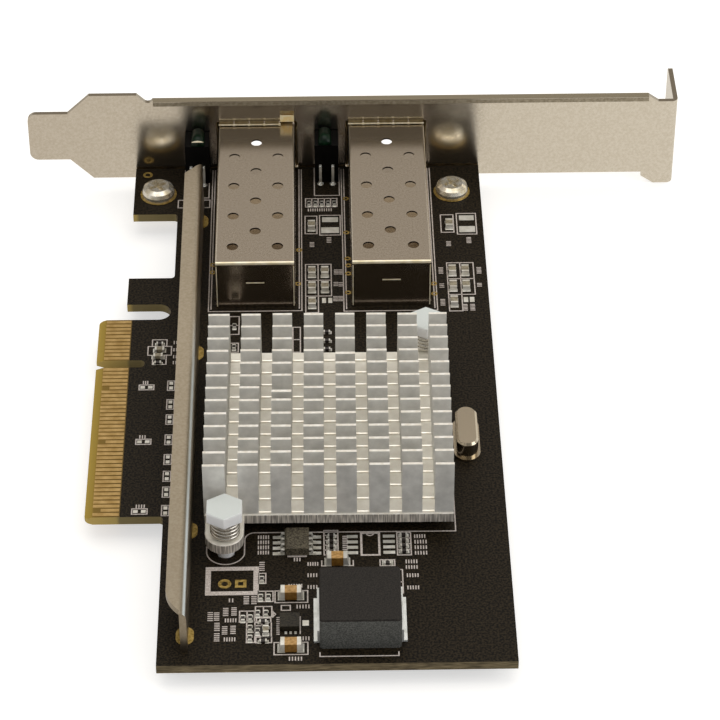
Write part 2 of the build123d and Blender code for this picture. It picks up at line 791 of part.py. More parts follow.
# Heat sink bolts: nylon hexagon heads that press springs on the sink's ears
with BuildPart() as heat_sink_bolts:
    with BuildSketch(Plane.XY.offset(bolt_head_z)):
        with Locations(*bolt_places):
            RegularPolygon(bolt_head_across_flats / 2, 6, major_radius=False, rotation=30)
    extrude(amount=bolt_head_height)
    chamfer(heat_sink_bolts.faces().group_by(Axis.Z)[-1].edges(), 0.15)
    with BuildSketch(Plane.XY.offset(nut_low_z - bolt_tip)):
        with Locations(*bolt_places):
            Circle(bolt_radius)
    extrude(amount=bolt_head_z - nut_low_z + bolt_tip)
heat_sink_bolts.part.label = "heat_sink_bolts"
export_step(heat_sink_bolts.part, "parts/heat_sink_bolts.step")

spring_room = bolt_head_z - sink_top_z
spring_rise = spring_room - 2 * spring_wire_radius - spring_end_gap
spring_point_count = int(spring_turns * spring_points_per_turn) + 1
with BuildPart() as heat_sink_springs:
    for x, y in bolt_places:
        turns = [step / spring_points_per_turn for step in range(spring_point_count)]
        with BuildLine():
            coil = Polyline(*[
                (
                    x + spring_coil_radius * math.cos(2 * math.pi * turn),
                    y + spring_coil_radius * math.sin(2 * math.pi * turn),
                    sink_top_z + spring_end_gap / 2 + spring_wire_radius + spring_rise * turn / turns[-1],
                )
                for turn in turns
            ])
        with BuildSketch(Plane(origin=coil @ 0, z_dir=coil % 0)):
            RegularPolygon(spring_wire_radius, 6)
        sweep(transition=Transition.RIGHT)
heat_sink_springs.part.label = "heat_sink_springs"
export_step(heat_sink_springs.part, "parts/heat_sink_springs.step")

with BuildPart() as heat_sink_nuts:
    with BuildSketch(Plane.XY.offset(nut_low_z)):
        with Locations(*bolt_places):
            RegularPolygon(nut_across_flats / 2, 6, major_radius=False, rotation=30)
            Circle(bolt_radius + nut_clearance, mode=Mode.SUBTRACT)
    extrude(amount=nut_height)
heat_sink_nuts.part.label = "heat_sink_nuts"
export_step(heat_sink_nuts.part, "parts/heat_sink_nuts.step")

# Stiffener bar: a folded angle on edge along the card, with tabs through the board
with BuildPart() as stiffener_bar:
    with BuildSketch(Plane.XZ.offset(-stiffener_far_y)):
        rectangle_between(stiffener_left_x, stiffener_right_x,
                          stiffener_height - stiffener_thickness, stiffener_height)
        rectangle_between(stiffener_right_x - stiffener_thickness, stiffener_right_x,
                          0, stiffener_height)
    extrude(amount=stiffener_far_y - stiffener_near_y)
    outer_bend = stiffener_bar.edges().filter_by(Axis.Y).filter_by(
        lambda edge: edge.center().X > stiffener_right_x - 0.01
        and edge.center().Z > stiffener_height - 0.01
    )
    fillet(outer_bend, stiffener_bend_radius)
    web_left_x = stiffener_right_x - stiffener_thickness
    # Far end of the flange cut to a point, and the web stopped short of the lamp
    with BuildSketch(Plane.XY.offset(stiffener_height)):
        with BuildLine():
            Polyline((stiffener_left_x, stiffener_far_y - stiffener_point_length),
                     (stiffener_right_x, stiffener_far_y), (stiffener_left_x, stiffener_far_y),
                     close=True)
        make_face()
    extrude(amount=-stiffener_height, mode=Mode.SUBTRACT)
    box_between((web_left_x, stiffener_web_far_y, 0),
                (stiffener_right_x, stiffener_far_y, stiffener_height - stiffener_thickness),
                mode=Mode.SUBTRACT)
    # Near end of the flange swept back to the web
    with BuildSketch(Plane.XY.offset(stiffener_height)):
        with BuildLine():
            Line((stiffener_left_x, stiffener_nose_start_y), (stiffener_left_x, stiffener_near_y))
            Line((stiffener_left_x, stiffener_near_y), (web_left_x, stiffener_near_y))
            Line((web_left_x, stiffener_near_y), (web_left_x, stiffener_nose_end_y))
            ThreePointArc((web_left_x, stiffener_nose_end_y),
                          ((stiffener_left_x * 0.72 + web_left_x * 0.28),
                           (stiffener_nose_start_y * 0.5 + stiffener_nose_end_y * 0.5)),
                          (stiffener_left_x, stiffener_nose_start_y))
        make_face()
    extrude(amount=-stiffener_thickness, mode=Mode.SUBTRACT)
    for y in stiffener_tab_places:
        box_between((web_left_x, y - stiffener_tab_width / 2, board_bottom_z - stiffener_tab_tip),
                    (stiffener_right_x, y + stiffener_tab_width / 2, 0))
stiffener_bar.part.label = "stiffener_bar"
export_step(stiffener_bar.part, "parts/stiffener_bar.step")

# Crystal: a drawn can welded to a flanged base
with BuildPart() as crystal_can:
    with BuildSketch(Plane.XY):
        with Locations(crystal_centre):
            SlotOverall(crystal_flange_length, crystal_flange_width, rotation=90)
    extrude(amount=crystal_flange_height)
    with BuildSketch(Plane.XY.offset(crystal_flange_height)):
        with Locations(crystal_centre):
            SlotOverall(crystal_length, crystal_width, rotation=90)
    extrude(amount=crystal_height - crystal_flange_height)
    chamfer(crystal_can.faces().sort_by(Axis.Z)[-1].edges(), 0.35)
    with BuildSketch(Plane.XY.offset(board_bottom_z - crystal_lead_tip)):
        with Locations(*crystal_leads):
            RegularPolygon(crystal_lead_radius, small_hole_sides)
    extrude(amount=crystal_lead_tip + board_thickness)
crystal_can.part.label = "crystal_can"
export_step(crystal_can.part, "parts/crystal_can.step")

# Power inductor: a pressed powder block with folded strip terminals
inductor_x, inductor_y = inductor_centre
with BuildPart() as inductor_body:
    with Locations((inductor_x, inductor_y, 0)):
        Box(inductor_width, inductor_depth, inductor_height,
            align=(Align.CENTER, Align.CENTER, Align.MIN))
    chamfer(inductor_body.edges().filter_by(Axis.Z), inductor_corner_chamfer)
    chamfer(inductor_body.faces().sort_by(Axis.Z)[-1].edges(), inductor_corner_chamfer / 2)
inductor_body.part.label = "inductor_body"
export_step(inductor_body.part, "parts/inductor_body.step")

with BuildPart() as inductor_terminals:
    for out in (-1, 1):
        side_x = inductor_x + out * inductor_width / 2
        with BuildSketch(Plane.XZ.offset(-(inductor_y + terminal_length / 2))):
            with BuildLine():
                Polyline(
                    (side_x, 0),
                    (side_x + out * terminal_foot, 0),
                    (side_x + out * terminal_foot, terminal_thickness),
                    (side_x + out * terminal_thickness, terminal_thickness),
                    (side_x + out * terminal_thickness, terminal_height),
                    (side_x, terminal_height),
                    close=True,
                )
            make_face()
        extrude(amount=terminal_length)
inductor_terminals.part.label = "inductor_terminals"
export_step(inductor_terminals.part, "parts/inductor_terminals.step")

# Flash memory chip with gull wing leads
flash_x, flash_y = flash_centre
with BuildPart() as flash_chip:
    with Locations((flash_x, flash_y, flash_standoff)):
        Box(flash_width, flash_length, flash_height - flash_standoff,
            align=(Align.CENTER, Align.CENTER, Align.MIN))
    pin_one_edge = flash_chip.edges().filter_by(Axis.Y).group_by(Axis.Z)[-1].sort_by(Axis.X)[0]
    chamfer(pin_one_edge, 0.35)
flash_chip.part.label = "flash_chip"
export_step(flash_chip.part, "parts/flash_chip.step")

with BuildPart() as flash_chip_leads:
    shoulder_z = (flash_height + flash_standoff) / 2
    for out in (-1, 1):
        body_x = flash_x + out * flash_width / 2
        toe_x = flash_x + out * lead_span / 2
        knee_x = toe_x - out * lead_foot
        for row in range(leads_per_side):
            low_y = flash_y + (row - (leads_per_side - 1) / 2) * lead_pitch - lead_width / 2
            with BuildSketch(Plane.XZ.offset(-low_y)):
                with BuildLine():
                    Polyline(
                        (body_x, shoulder_z + lead_thickness / 2),
                        (knee_x, shoulder_z + lead_thickness / 2),
                        (knee_x + out * lead_thickness, lead_thickness),
                        (toe_x, lead_thickness),
                        (toe_x, 0),
                        (knee_x, 0),
                        (knee_x - out * lead_thickness, shoulder_z - lead_thickness / 2),
                        (body_x, shoulder_z - lead_thickness / 2),
                        close=True,
                    )
                make_face()
            extrude(amount=-lead_width)
flash_chip_leads.part.label = "flash_chip_leads"
export_step(flash_chip_leads.part, "parts/flash_chip_leads.step")

with BuildPart() as power_chip:
    with Locations((*power_chip_centre, 0)):
        Box(power_chip_size, power_chip_size, power_chip_height,
            align=(Align.CENTER, Align.CENTER, Align.MIN))
power_chip.part.label = "power_chip"
export_step(power_chip.part, "parts/power_chip.step")

# Status lamps: a black block with two lenses, one above the other, that reach the bracket
for side, centre in lamp_centres.items():
    with BuildPart() as lamp_housing:
        box_between((centre - lamp_width / 2, lamp_far_y - lamp_depth, 0),
                    (centre + lamp_width / 2, lamp_far_y, lamp_height))
        with BuildSketch(Plane.XZ.offset(-lamp_far_y)):
            with Locations(*[(centre, z) for z in lamp_levels]):
                Circle(lens_radius)
        extrude(amount=lens_collar, mode=Mode.SUBTRACT)
    lamp_housing.part.label = f"lamp_housing_{side}"
    export_step(lamp_housing.part, f"parts/lamp_housing_{side}.step")

    with BuildPart() as lamp_lenses:
        with BuildSketch(Plane.XZ.offset(-(lamp_far_y - lens_collar))):
            with Locations(*[(centre, z) for z in lamp_levels]):
                Circle(lens_radius)
        extrude(amount=-(lens_collar + lens_reach))
        chamfer(lamp_lenses.faces().group_by(Axis.Y)[-1].edges(), lens_radius * 0.4)
    lamp_lenses.part.label = f"lamp_lenses_{side}"
    export_step(lamp_lenses.part, f"parts/lamp_lenses_{side}.step")

with BuildPart() as lamp_lead_wires:
    for x, y in lamp_leads:
        box_between((x - lamp_lead_width / 2, y - lamp_lead_width / 2,
                     board_bottom_z - lamp_lead_tip),
                    (x + lamp_lead_width / 2, y + lamp_lead_width / 2, lamp_lead_top))
        box_between((x - lamp_lead_width / 2, y - lamp_lead_width / 2,
                     lamp_lead_top - lamp_lead_width),
                    (x + lamp_lead_width / 2, lamp_far_y - lamp_depth, lamp_lead_top))
lamp_lead_wires.part.label = "lamp_lead_wires"
export_step(lamp_lead_wires.part, "parts/lamp_lead_wires.step")

# Ceramic capacitors and chip resistors
with BuildPart() as large_capacitors:
    chip_bodies(large_capacitor_places, large_capacitor, 0)
large_capacitors.part.label = "large_capacitors"
export_step(large_capacitors.part, "parts/large_capacitors.step")

with BuildPart() as large_capacitor_ends:
    chip_ends(large_capacitor_places, large_capacitor, 0)
large_capacitor_ends.part.label = "large_capacitor_ends"
export_step(large_capacitor_ends.part, "parts/large_capacitor_ends.step")

with BuildPart() as chip_capacitors:
    chip_bodies(capacitor_places, chip_capacitor, 90)
    chip_bodies(crosswise_filters, filter_chip, 0)
    chip_bodies(lengthwise_filters, filter_chip, 90)
chip_capacitors.part.label = "chip_capacitors"
export_step(chip_capacitors.part, "parts/chip_capacitors.step")

with BuildPart() as chip_capacitor_ends:
    chip_ends(capacitor_places, chip_capacitor, 90)
    chip_ends(crosswise_filters, filter_chip, 0)
    chip_ends(lengthwise_filters, filter_chip, 90)
chip_capacitor_ends.part.label = "chip_capacitor_ends"
export_step(chip_capacitor_ends.part, "parts/chip_capacitor_ends.step")

with BuildPart() as chip_resistors:
    chip_bodies(ladder_places + list(crosswise_chips), small_chip, 0)
    chip_bodies(terminator_places + list(lengthwise_chips), small_chip, 90)
chip_resistors.part.label = "chip_resistors"
export_step(chip_resistors.part, "parts/chip_resistors.step")

with BuildPart() as chip_resistor_ends:
    chip_ends(ladder_places + list(crosswise_chips), small_chip, 0)
    chip_ends(terminator_places + list(lengthwise_chips), small_chip, 90)
chip_resistor_ends.part.label = "chip_resistor_ends"
export_step(chip_resistor_ends.part, "parts/chip_resistor_ends.step")
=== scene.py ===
import bmesh
import bpy
import math
from mathutils import Matrix, Vector


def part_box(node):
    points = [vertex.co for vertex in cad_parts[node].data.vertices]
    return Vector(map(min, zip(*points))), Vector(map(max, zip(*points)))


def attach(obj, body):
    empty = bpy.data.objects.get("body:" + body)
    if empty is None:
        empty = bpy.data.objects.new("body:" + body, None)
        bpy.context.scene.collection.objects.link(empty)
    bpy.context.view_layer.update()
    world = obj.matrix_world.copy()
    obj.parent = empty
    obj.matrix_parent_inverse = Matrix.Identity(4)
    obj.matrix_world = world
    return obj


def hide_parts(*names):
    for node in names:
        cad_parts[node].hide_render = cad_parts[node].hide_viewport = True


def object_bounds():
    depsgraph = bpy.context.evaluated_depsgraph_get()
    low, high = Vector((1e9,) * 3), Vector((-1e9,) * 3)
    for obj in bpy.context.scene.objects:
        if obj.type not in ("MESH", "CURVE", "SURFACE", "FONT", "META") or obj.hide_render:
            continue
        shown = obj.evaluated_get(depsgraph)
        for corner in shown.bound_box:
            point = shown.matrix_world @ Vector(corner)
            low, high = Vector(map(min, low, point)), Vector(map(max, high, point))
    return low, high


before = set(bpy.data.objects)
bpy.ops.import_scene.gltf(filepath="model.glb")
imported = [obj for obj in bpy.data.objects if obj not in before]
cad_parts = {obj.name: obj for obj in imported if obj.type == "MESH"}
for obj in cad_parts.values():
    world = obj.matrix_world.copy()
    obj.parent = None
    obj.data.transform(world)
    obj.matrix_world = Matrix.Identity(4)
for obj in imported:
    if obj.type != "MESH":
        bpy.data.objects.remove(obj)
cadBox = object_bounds()
mm = 0.001
scene = bpy.context.scene
scene.view_settings.view_transform = "Standard"
print("frame loaded")


def boxInMm(node):
    low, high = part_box(node)
    return low / mm, high / mm


def middleOf(box):  # in plan
    low, high = box
    return (low.x + high.x) / 2, (low.y + high.y) / 2


def looseBoxes(node):  # low and high corner, in mm, of each separate solid of a CAD node
    shape = bmesh.new()
    shape.from_mesh(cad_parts[node].data)
    bmesh.ops.remove_doubles(shape, verts=shape.verts, dist=1e-6)
    left = set(shape.verts)
    boxes = []
    while left:
        reached = [left.pop()]
        for vertex in reached:
            for edge in vertex.link_edges:
                other = edge.other_vert(vertex)
                if other in left:
                    left.remove(other)
                    reached.append(other)
        corners = [[vertex.co[axis] / mm for vertex in reached] for axis in range(3)]
        boxes.append((Vector(map(min, corners)), Vector(map(max, corners))))
    shape.free()
    boxes.sort(key=lambda box: tuple(round(value, 3) for value in box[0]))
    return boxes


def linked(name, data):  # an object in the scene
    thing = bpy.data.objects.new(name, data)
    scene.collection.objects.link(thing)
    return thing


# Camera, light and surroundings
view = {
    "lens": 151.36,  # mm, on a 36 mm sensor
    "place": (38.571, -403.170, 330.205),
    "right": (0.999842, -0.017742, -0.000994),
    "down": (-0.012004, -0.633163, -0.773925),
    "forward": (0.013102, 0.773815, -0.633276),
}
cameraData = bpy.data.cameras.new("camera")
cameraData.lens = view["lens"]
cameraData.sensor_width = 36
cameraData.clip_start = 0.01
cameraData.clip_end = 20
camera = linked("camera", cameraData)
turn = Matrix((view["right"], -Vector(view["down"]), -Vector(view["forward"]))).transposed()
camera.matrix_world = Matrix.Translation(Vector(view["place"]) * mm) @ turn.to_4x4()
scene.camera = camera


def linearColour(code):  # sRGB hex to the linear values that shaders take
    parts = [int(code[i:i + 2], 16) / 255 for i in (1, 3, 5)]
    return (*[c / 12.92 if c <= 0.04045 else ((c + 0.055) / 1.055) ** 2.4 for c in parts], 1)


def addNode(tree, kind, inputs=None, **settings):  # a node with its settings, values and links
    # in the inputs, a node stands for its first output
    node = tree.nodes.new(kind)
    for name, value in settings.items():
        setattr(node, name, value)
    for key, value in (inputs or {}).items():
        if isinstance(value, bpy.types.Node):
            value = value.outputs[0]
        if isinstance(value, bpy.types.NodeSocket):
            tree.links.new(value, node.inputs[key])
        else:
            node.inputs[key].default_value = value
    return node


def shareAlong(tree, axis, start, end, low=0.0):  # from low to 1 between two places in mm
    place = addNode(tree, "ShaderNodeTexCoord")
    spread = addNode(tree, "ShaderNodeSeparateXYZ", {0: place.outputs["Object"]})
    return addNode(tree, "ShaderNodeMapRange", {"Value": spread.outputs[axis], "From Min": start * mm,
                                                "From Max": end * mm, "To Min": low})


def fillRamp(node, stops):  # colour ramp stops: position and hex
    elements = node.color_ramp.elements
    while len(elements) > 1:
        elements.remove(elements[-1])
    for number, (position, code) in enumerate(stops):
        element = elements[0] if number == 0 else elements.new(position)
        element.position = position
        element.color = linearColour(code)


studio = {
    "dome": 0.62,  # light that reaches plain surfaces from all round
    "mirrorSky": [(0.0, "#FFFFFF"), (0.25, "#F2F1EE"), (0.48, "#B4AEA6"), (0.62, "#A8A19A"),
                  (0.75, "#BEB9B2"), (0.92, "#F4F2EE")],  # what metal sees, by height
    "nearSide": (-0.75, -0.1, 0.3),  # towards the viewer the mirrored sky falls to this share
    "floorColour": "#DEDCD8",
    "floorGlow": 0.55,
    "floorMirror": [(0.30, "#D3CCC2"), (0.45, "#D8D2C8"), (0.62, "#E6E1D8"), (0.8, "#EEEAE2")],
    "floorSpan": (-120, 220),  # mm along X that those tones run over
    "floorSize": 3.0,  # m
}
world = bpy.data.worlds.new("studio")
scene.world = world
world.use_nodes = True
tree = world.node_tree
tree.nodes.clear()
direction = addNode(tree, "ShaderNodeTexCoord")
height = addNode(tree, "ShaderNodeSeparateXYZ", {0: direction.outputs["Generated"]})
ramp = addNode(tree, "ShaderNodeValToRGB", {0: height.outputs["Z"]})
fillRamp(ramp, studio["mirrorSky"])
path = addNode(tree, "ShaderNodeLightPath")
dome = addNode(tree, "ShaderNodeBackground", {"Color": (1, 1, 1, 1), "Strength": studio["dome"]})
start, end, share = studio["nearSide"]
dimming = addNode(tree, "ShaderNodeMapRange", {"Value": height.outputs["Y"], "From Min": start,
                                               "From Max": end, "To Min": share, "To Max": 1.0})
mirrored = addNode(tree, "ShaderNodeBackground", {"Color": ramp, "Strength": dimming})
backdrop = addNode(tree, "ShaderNodeBackground", {"Color": (1, 1, 1, 1), "Strength": 1.0})
straight, through = path.outputs["Is Camera Ray"], path.outputs["Is Transmission Ray"]
clear = addNode(tree, "ShaderNodeMath", {0: straight, 1: through}, operation="MAXIMUM")
lit = addNode(tree, "ShaderNodeMixShader", {0: path.outputs["Is Glossy Ray"], 1: dome, 2: mirrored})
seen = addNode(tree, "ShaderNodeMixShader", {0: clear, 1: lit, 2: backdrop})
addNode(tree, "ShaderNodeOutputWorld", {0: seen})

softboxes = {
    "overhead": {"place": (60, 240, 900), "aim": (40, 0, 0), "size": 1.0, "watts": 2.6,
                 "tint": "#FFFAF2"},
    "side": {"place": (760, -260, 520), "aim": (40, 0, 0), "size": 0.5, "watts": 1.5,
             "tint": "#FFFFFF"},
}
for name, box in softboxes.items():
    lampData = bpy.data.lights.new(name, "AREA")
    lampData.size = box["size"]
    lampData.energy = box["watts"]
    lampData.color = linearColour(box["tint"])[:3]
    softbox = linked(name, lampData)
    softbox.location = Vector(box["place"]) * mm
    softbox.rotation_mode = "QUATERNION"
    away = Vector(box["aim"]) - Vector(box["place"])
    softbox.rotation_quaternion = away.to_track_quat("-Z", "Y")

floorMaterial = bpy.data.materials.new("paperSweep")
floorMaterial.use_nodes = True
tree = floorMaterial.node_tree
tree.nodes.clear()
paper = addNode(tree, "ShaderNodeBsdfDiffuse", {"Color": linearColour(studio["floorColour"])})
path = addNode(tree, "ShaderNodeLightPath")
ramp = addNode(tree, "ShaderNodeValToRGB", {0: shareAlong(tree, "X", *studio["floorSpan"])})
fillRamp(ramp, studio["floorMirror"])
white = addNode(tree, "ShaderNodeMath", {0: path.outputs["Is Camera Ray"],
                                         1: studio["floorGlow"]}, operation="MULTIPLY")
glow = addNode(tree, "ShaderNodeEmission", {"Color": (1, 1, 1, 1), "Strength": white})
mirrored = addNode(tree, "ShaderNodeEmission", {"Color": ramp, "Strength": 1.0})
plain = addNode(tree, "ShaderNodeAddShader", {0: paper, 1: glow})
floorLook = addNode(tree, "ShaderNodeMixShader", {0: path.outputs["Is Glossy Ray"],
                                                  1: plain, 2: mirrored})
addNode(tree, "ShaderNodeOutputMaterial", {0: floorLook})
half = studio["floorSize"] / 2
floorMesh = bpy.data.meshes.new("floor")
floorZ = cadBox[0].z
floorMesh.from_pydata([(-half, -half, floorZ), (half, -half, floorZ), (half, half, floorZ),
                       (-half, half, floorZ)], [], [(0, 1, 2, 3)])
floorMesh.materials.append(floorMaterial)
floor = linked("floor", floorMesh)
print("camera, light and floor made")


# Finishes
def newFinish(name, colour, metallic, roughness, specular=0.5):
    finish = bpy.data.materials.new(name)
    finish.use_nodes = True
    shader = finish.node_tree.nodes["Principled BSDF"]
    values = {"Base Color": linearColour(colour), "Metallic": metallic, "Roughness": roughness,
              "Specular IOR Level": specular}
    for key, value in values.items():
        shader.inputs[key].default_value = value
    return finish, finish.node_tree, shader


def mottle(tree, shader, codes, sizeMm, detail=3.0, spread=(0.35, 0.65)):  # spots of a real size
    place = addNode(tree, "ShaderNodeTexCoord")
    noise = addNode(tree, "ShaderNodeTexNoise", {"Vector": place.outputs["Object"],
                                                 "Scale": 1 / (sizeMm * mm), "Detail": detail})
    ramp = addNode(tree, "ShaderNodeValToRGB", {0: noise})
    fillRamp(ramp, [(spread[0], codes[0]), (spread[1], codes[1])])
    tree.links.new(ramp.outputs[0], shader.inputs["Base Color"])
    return ramp


def sameSpots(tree, ramp, stops):  # other colours over the spots of a ramp that exists
    other = addNode(tree, "ShaderNodeValToRGB", {0: ramp.inputs[0].links[0].from_socket})
    fillRamp(other, stops)
    return other


def grain(tree, shader, sizeMm, depthMm, stretch=(1, 1, 1)):  # fine relief of a real size
    place = addNode(tree, "ShaderNodeTexCoord")
    drawn = addNode(tree, "ShaderNodeMapping", {"Vector": place.outputs["Object"], "Scale": stretch})
    noise = addNode(tree, "ShaderNodeTexNoise", {"Vector": drawn,
                                                 "Scale": 1 / (sizeMm * mm), "Detail": 2.0})
    bump = addNode(tree, "ShaderNodeBump", {"Height": noise, "Strength": 1.0, "Distance": depthMm * mm})
    tree.links.new(bump.outputs[0], shader.inputs["Normal"])


def facing(tree, way, start, end):  # 0 to 1, by how squarely the surface faces one way
    normal = addNode(tree, "ShaderNodeNewGeometry")
    along = addNode(tree, "ShaderNodeVectorMath",
                    {0: normal.outputs["Normal"], 1: Vector(way).normalized()}, operation="DOT_PRODUCT")
    return addNode(tree, "ShaderNodeMapRange", {"Value": along.outputs["Value"],
                                                "From Min": start, "From Max": end})


def blend(tree, shader, share, first, second):  # base colour: two tones mixed by a share
    mix = addNode(tree, "ShaderNodeMix", {0: share, 6: first, 7: second}, data_type="RGBA")
    tree.links.new(mix.outputs[2], shader.inputs["Base Color"])


# Matt black solder mask on FR-4: near black with faint grain; the sawn edges show the
# olive brown glass laminate
laminate = {
    "level": 0.97,  # how far up or down a face looks that isn't a sawn edge
    "weave": (0.4, 0.4, 4.0), "ply": 0.8,
    "maskEdge": 5.75, "wallsEnd": 12.5,  # mm along X
    "tongueEnd": 12.5,  # mm along Y
}
mask, tree, shader = newFinish("blackSolderMask", "#1A1613", 0, 0.46, 0.1)
maskTone = mottle(tree, shader, ("#090704", "#30281C"), 0.35, 4.0, (0.4, 0.6))
normal = addNode(tree, "ShaderNodeNewGeometry")
upright = addNode(tree, "ShaderNodeSeparateXYZ", {0: normal.outputs["Normal"]})
level = addNode(tree, "ShaderNodeMath", {0: upright.outputs["Z"]}, operation="ABSOLUTE")
flat = addNode(tree, "ShaderNodeMath", {0: level, 1: laminate["level"]}, operation="GREATER_THAN")
place = addNode(tree, "ShaderNodeTexCoord")
weave = addNode(tree, "ShaderNodeMapping", {"Vector": place.outputs["Object"],
                                            "Scale": laminate["weave"]})
plies = addNode(tree, "ShaderNodeTexNoise", {"Vector": weave, "Scale": 1 / (laminate["ply"] * mm),
                                             "Detail": 3.0})
plyTone = addNode(tree, "ShaderNodeValToRGB", {0: plies})
fillRamp(plyTone, [(0.35, "#4E4534"), (0.7, "#84765A")])
edgeOrMask = addNode(tree, "ShaderNodeMix", {0: flat, 6: plyTone, 7: maskTone}, data_type="RGBA")
# No mask on the contact tongue: the bare laminate shows between the strips. Its tone is paler
# towards the bevelled edge, partly the bared glass and partly painted light, and the walls that face the
# viewer get a paler painted light
spread = addNode(tree, "ShaderNodeSeparateXYZ", {0: place.outputs["Object"]})
bySide = addNode(tree, "ShaderNodeMath", {0: spread.outputs["X"], 1: laminate["maskEdge"] * mm},
                 operation="LESS_THAN")
byEnd = addNode(tree, "ShaderNodeMath", {0: spread.outputs["Y"], 1: laminate["tongueEnd"] * mm},
                operation="LESS_THAN")
bare = addNode(tree, "ShaderNodeMath", {0: bySide, 1: byEnd}, operation="MULTIPLY")
# Paler towards the bevel: partly the glass colour, partly painted light on the slanted face
glassToneAndBevelLight = addNode(tree, "ShaderNodeValToRGB", {0: shareAlong(tree, "X", 0, laminate["maskEdge"])})
fillRamp(glassToneAndBevelLight, [(0.0, "#AB9040"), (0.2, "#9C8136"), (0.26, "#84692F"), (1.0, "#6E5930")])
maskOrGlass = addNode(tree, "ShaderNodeMix", {0: bare, 6: edgeOrMask.outputs[2],
                                              7: glassToneAndBevelLight}, data_type="RGBA")
# Painted light: the walls of the tongue that face the viewer get a paler tone
paintedWallLight = sameSpots(tree, glassToneAndBevelLight, [(0.0, "#D0B468"), (0.9, "#BFA765"), (1.0, "#887B55")])
inTongue = addNode(tree, "ShaderNodeMath", {0: spread.outputs["X"], 1: laminate["wallsEnd"] * mm},
                   operation="LESS_THAN")
wallLightShare = addNode(tree, "ShaderNodeMath", {0: facing(tree, (0, -1, 0), 0.5, 0.8),
                                        1: inTongue}, operation="MULTIPLY")
blend(tree, shader, wallLightShare, maskOrGlass.outputs[2], paintedWallLight)

# Hard gold over nickel, plated: warm, slightly brushed by use
gold, tree, shader = newFinish("hardGoldPlate", "#BA9A60", 0.8, 0.42)
mottle(tree, shader, ("#AB8B52", "#C6A66C"), 1.6)
grain(tree, shader, 0.25, 0.003, (1, 4, 1))

# Immersion gold on the small lands: paler and flatter than the contacts
padGold, tree, shader = newFinish("immersionGold", "#B0934C", 0.6, 0.45)
mottle(tree, shader, ("#8E7434", "#C4A75E"), 0.5)

# Nickel plated cold rolled steel sheet: a soft mirror with a very fine rolled grain
bracketPlate, tree, shader = newFinish("nickelPlatedSteel", "#E0D8CA", 1, 0.19)
plateTone = mottle(tree, shader, ("#DAD1C1", "#E6DED0"), 0.45, 4.0)
# Faces that look up are mixed to a darker tone (#A59B89): painted shade
blend(tree, shader, facing(tree, (0, 0, 1), 0.5, 0.6), plateTone, linearColour("#A59B89"))
grain(tree, shader, 0.3, 0.003)

# The sheared edge of that sheet: dull, the plating thin and olive grey
shearedEdge, tree, shader = newFinish("shearedSteelEdge", "#9E937E", 0.55, 0.42)
edgeTone = mottle(tree, shader, ("#8F846F", "#AEA38E"), 0.5)
# Faces that look up, the top of the lip, are mixed to a darker tone: painted shade
blend(tree, shader, facing(tree, (0, 0, 1), 0.5, 0.8), edgeTone, linearColour("#7D735F"))

# Nickel plated copper alloy, stamped and folded: warmer and smoother than the bracket
cagePlate, tree, shader = newFinish("nickelPlatedBrass", "#C9BDAC", 1, 0.2)
mottle(tree, shader, ("#C3B7A5", "#CEC3B3"), 0.35, 3.0)
grain(tree, shader, 0.3, 0.0015)

# The outside of a sharp fold in the same sheet: pale cream, a painted highlight
foldHighlight, tree, shader = newFinish("pressedFoldLine", "#F3E7C8", 0.7, 0.3)
mottle(tree, shader, ("#EBDDB8", "#FBF2DA"), 1.5)

# Tin plated spring bronze: bright and thin
springPlate, tree, shader = newFinish("tinPlatedSpringBronze", "#94835F", 1, 0.32)
mottle(tree, shader, ("#8A7957", "#A09070"), 0.9)

# Pale cream for the thin bright lines on the cage trim, the collar tips and the lamp crown: a painted
# highlight
paleHighlightLine, tree, shader = newFinish("rubbedSpringBronze", "#E8DABC", 0.1, 0.35)
mottle(tree, shader, ("#DDCDA6", "#F4EAD2"), 0.8)

# The finger that is bent up: pale gold, brightened as painted light where it faces up towards the viewer
liftedFingerLight, tree, shader = newFinish("goldenSpringBronze", "#FFE9B0", 0.1, 0.35)
mottle(tree, shader, ("#FFE29C", "#FFF3CE"), 0.8)

# Steel strip with satin nickel: even brown grey, dull, darker towards the near end as painted shade,
# and a painted highlight of pale grey along the bend where it lies beside the sink
strip = {"shadedSpan": (-60, 0), "shadeShare": 0.7, "highlightSpan": (4, -12)}  # mm along Y, and a share
stiffenerPlate, tree, shader = newFinish("satinNickelStrip", "#BDB3A1", 1, 0.34)
stripTone = mottle(tree, shader, ("#B4A791", "#C1B5A0"), 0.4, 4.0)
# Painted shade: the tone darkens towards the near end
nearEndShade = shareAlong(tree, "Y", *strip["shadedSpan"], strip["shadeShare"])
shadedStripTone = addNode(tree, "ShaderNodeVectorMath", {0: stripTone, 3: nearEndShade}, operation="SCALE")
# Painted highlight: along the bend beside the sink the colour goes pale grey and the metal is taken away
bend = addNode(tree, "ShaderNodeMath", {0: facing(tree, (1, 0, 0.9), 0.95, 1.0),
                                        1: shareAlong(tree, "Y", *strip["highlightSpan"])},
               operation="MULTIPLY")
blend(tree, shader, bend, shadedStripTone, linearColour("#CCD2D0"))
metalOutsideHighlight = addNode(tree, "ShaderNodeMath", {0: 1.0, 1: bend}, operation="SUBTRACT")
tree.links.new(metalOutsideHighlight.outputs[0], shader.inputs["Metallic"])

# Zinc plated screws with a faint yellow passivation
screwPlate, tree, shader = newFinish("yellowedZincPlate", "#EDE6D6", 0.75, 0.2)
mottle(tree, shader, ("#DCD0B2", "#F6F2E8"), 1.2)

# Extruded aluminium: light grey faces, satin, with smudges from handling; faces that look up are paler,
# as painted light
aluminium, tree, shader = newFinish("extrudedAluminium", "#E4E0D7", 0.35, 0.4)
faceTone = mottle(tree, shader, ("#D5D3CD", "#F0EEE8"), 2.2, 3.0, (0.3, 0.7))
